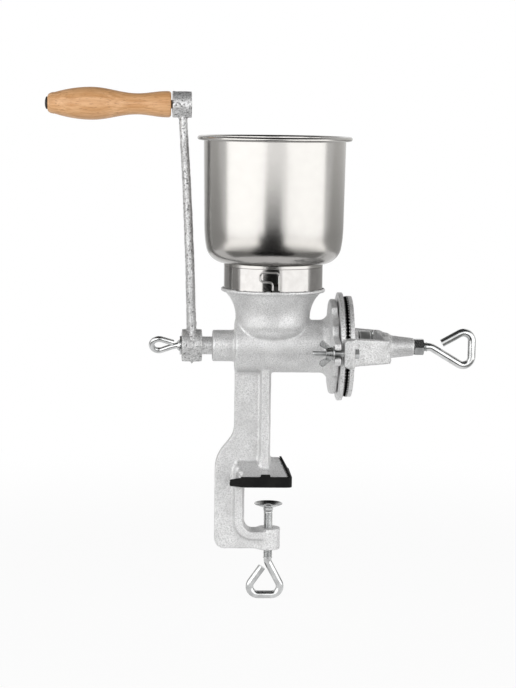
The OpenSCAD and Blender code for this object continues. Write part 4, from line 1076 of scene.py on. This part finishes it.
class MILL_OT_shaft_fittings(bpy.types.Operator):
    """Turn the drive collar and bend the split pin"""
    bl_idname = "mill.shaft_fittings"
    bl_label = "Shaft fittings"

    shaft_r, leg_r, eye_r = 6.0, 0.72, 3.0

    def execute(self, context):
        collar = washer("drive_collar_turning", "drive_collar", self.shaft_r, SHAFT, edge=0.9)
        dress(collar, "rotor", "zinc_steel", "dull_zinc", "drive_collar", sharp_deg=35)
        left, right = ends_of("cotter_pin", "X")
        low, high = ends_of("cotter_pin", "Z")
        x, eye_z = (left + right) / 2 * MM, (high - self.eye_r - 1.2) * MM
        # One half-round wire, folded round its eye with its two legs side by side
        ring = [Vector((x, self.eye_r * MM * math.cos(a), eye_z + self.eye_r * MM * math.sin(a)))
                for a in (math.radians(-68 + 316 * i / 24) for i in range(25))]
        side, foot = self.leg_r * MM, low * MM
        route = [Vector((x, side + 0.9 * MM, foot)), Vector((x, side, foot + 3 * MM)),
                 Vector((x, side, eye_z - 4 * MM))] + ring
        route += [Vector((x, -side, eye_z - 4 * MM)), Vector((x, -side, foot + 2 * MM))]
        pin = swept_rod("split_pin", route, side)
        dress(pin, "rotor", "zinc_steel", "zinc_steel", "cotter_pin", sharp_deg=50)
        frame["nodes"]["thrust_ball"].material_slots[0].material = FINISHES["polished_steel"]
        return {"FINISHED"}


STEPS = [MILL_OT_stage, MILL_OT_castings, MILL_OT_pad, MILL_OT_plates, MILL_OT_hopper, MILL_OT_handle,
         MILL_OT_clamp_screw, MILL_OT_adjusting_screw, MILL_OT_thumb_screw, MILL_OT_yoke_fasteners,
         MILL_OT_shaft_fittings]


class MILL_PT_sidebar(bpy.types.Panel):
    """List the mill's sizes, colours and pieces"""
    bl_idname = "MILL_PT_sidebar"
    bl_label = "Grain mill"
    bl_space_type = "VIEW_3D"
    bl_region_type = "UI"
    bl_category = "Grain mill"

    def draw(self, context):
        for group in (context.scene.mill_sizes, context.scene.mill_tones):
            for name in type(group).__annotations__:
                self.layout.prop(group, name)
        for step in STEPS:
            self.layout.operator(step.bl_idname)


CLASSES = [MillSizes, MillTones, MILL_PT_sidebar] + STEPS
FINISHES = {}


def register():
    for kind in CLASSES:
        bpy.utils.register_class(kind)
    bpy.types.Scene.mill_sizes = bpy.props.PointerProperty(type=MillSizes)
    bpy.types.Scene.mill_tones = bpy.props.PointerProperty(type=MillTones)


def unregister():
    del bpy.types.Scene.mill_sizes
    del bpy.types.Scene.mill_tones
    for kind in reversed(CLASSES):
        bpy.utils.unregister_class(kind)


def main():
    register()
    FINISHES.update(mill_finishes())
    bpy.ops.mill.stage()
    bpy.ops.mill.castings()
    bpy.ops.mill.pad()
    bpy.ops.mill.plates()
    bpy.ops.mill.hopper()
    bpy.ops.mill.handle()
    bpy.ops.mill.clamp_screw()
    bpy.ops.mill.adjusting_screw()
    bpy.ops.mill.thumb_screw()
    bpy.ops.mill.yoke_fasteners()
    bpy.ops.mill.shaft_fittings()


if __name__ == "__main__":
    main()
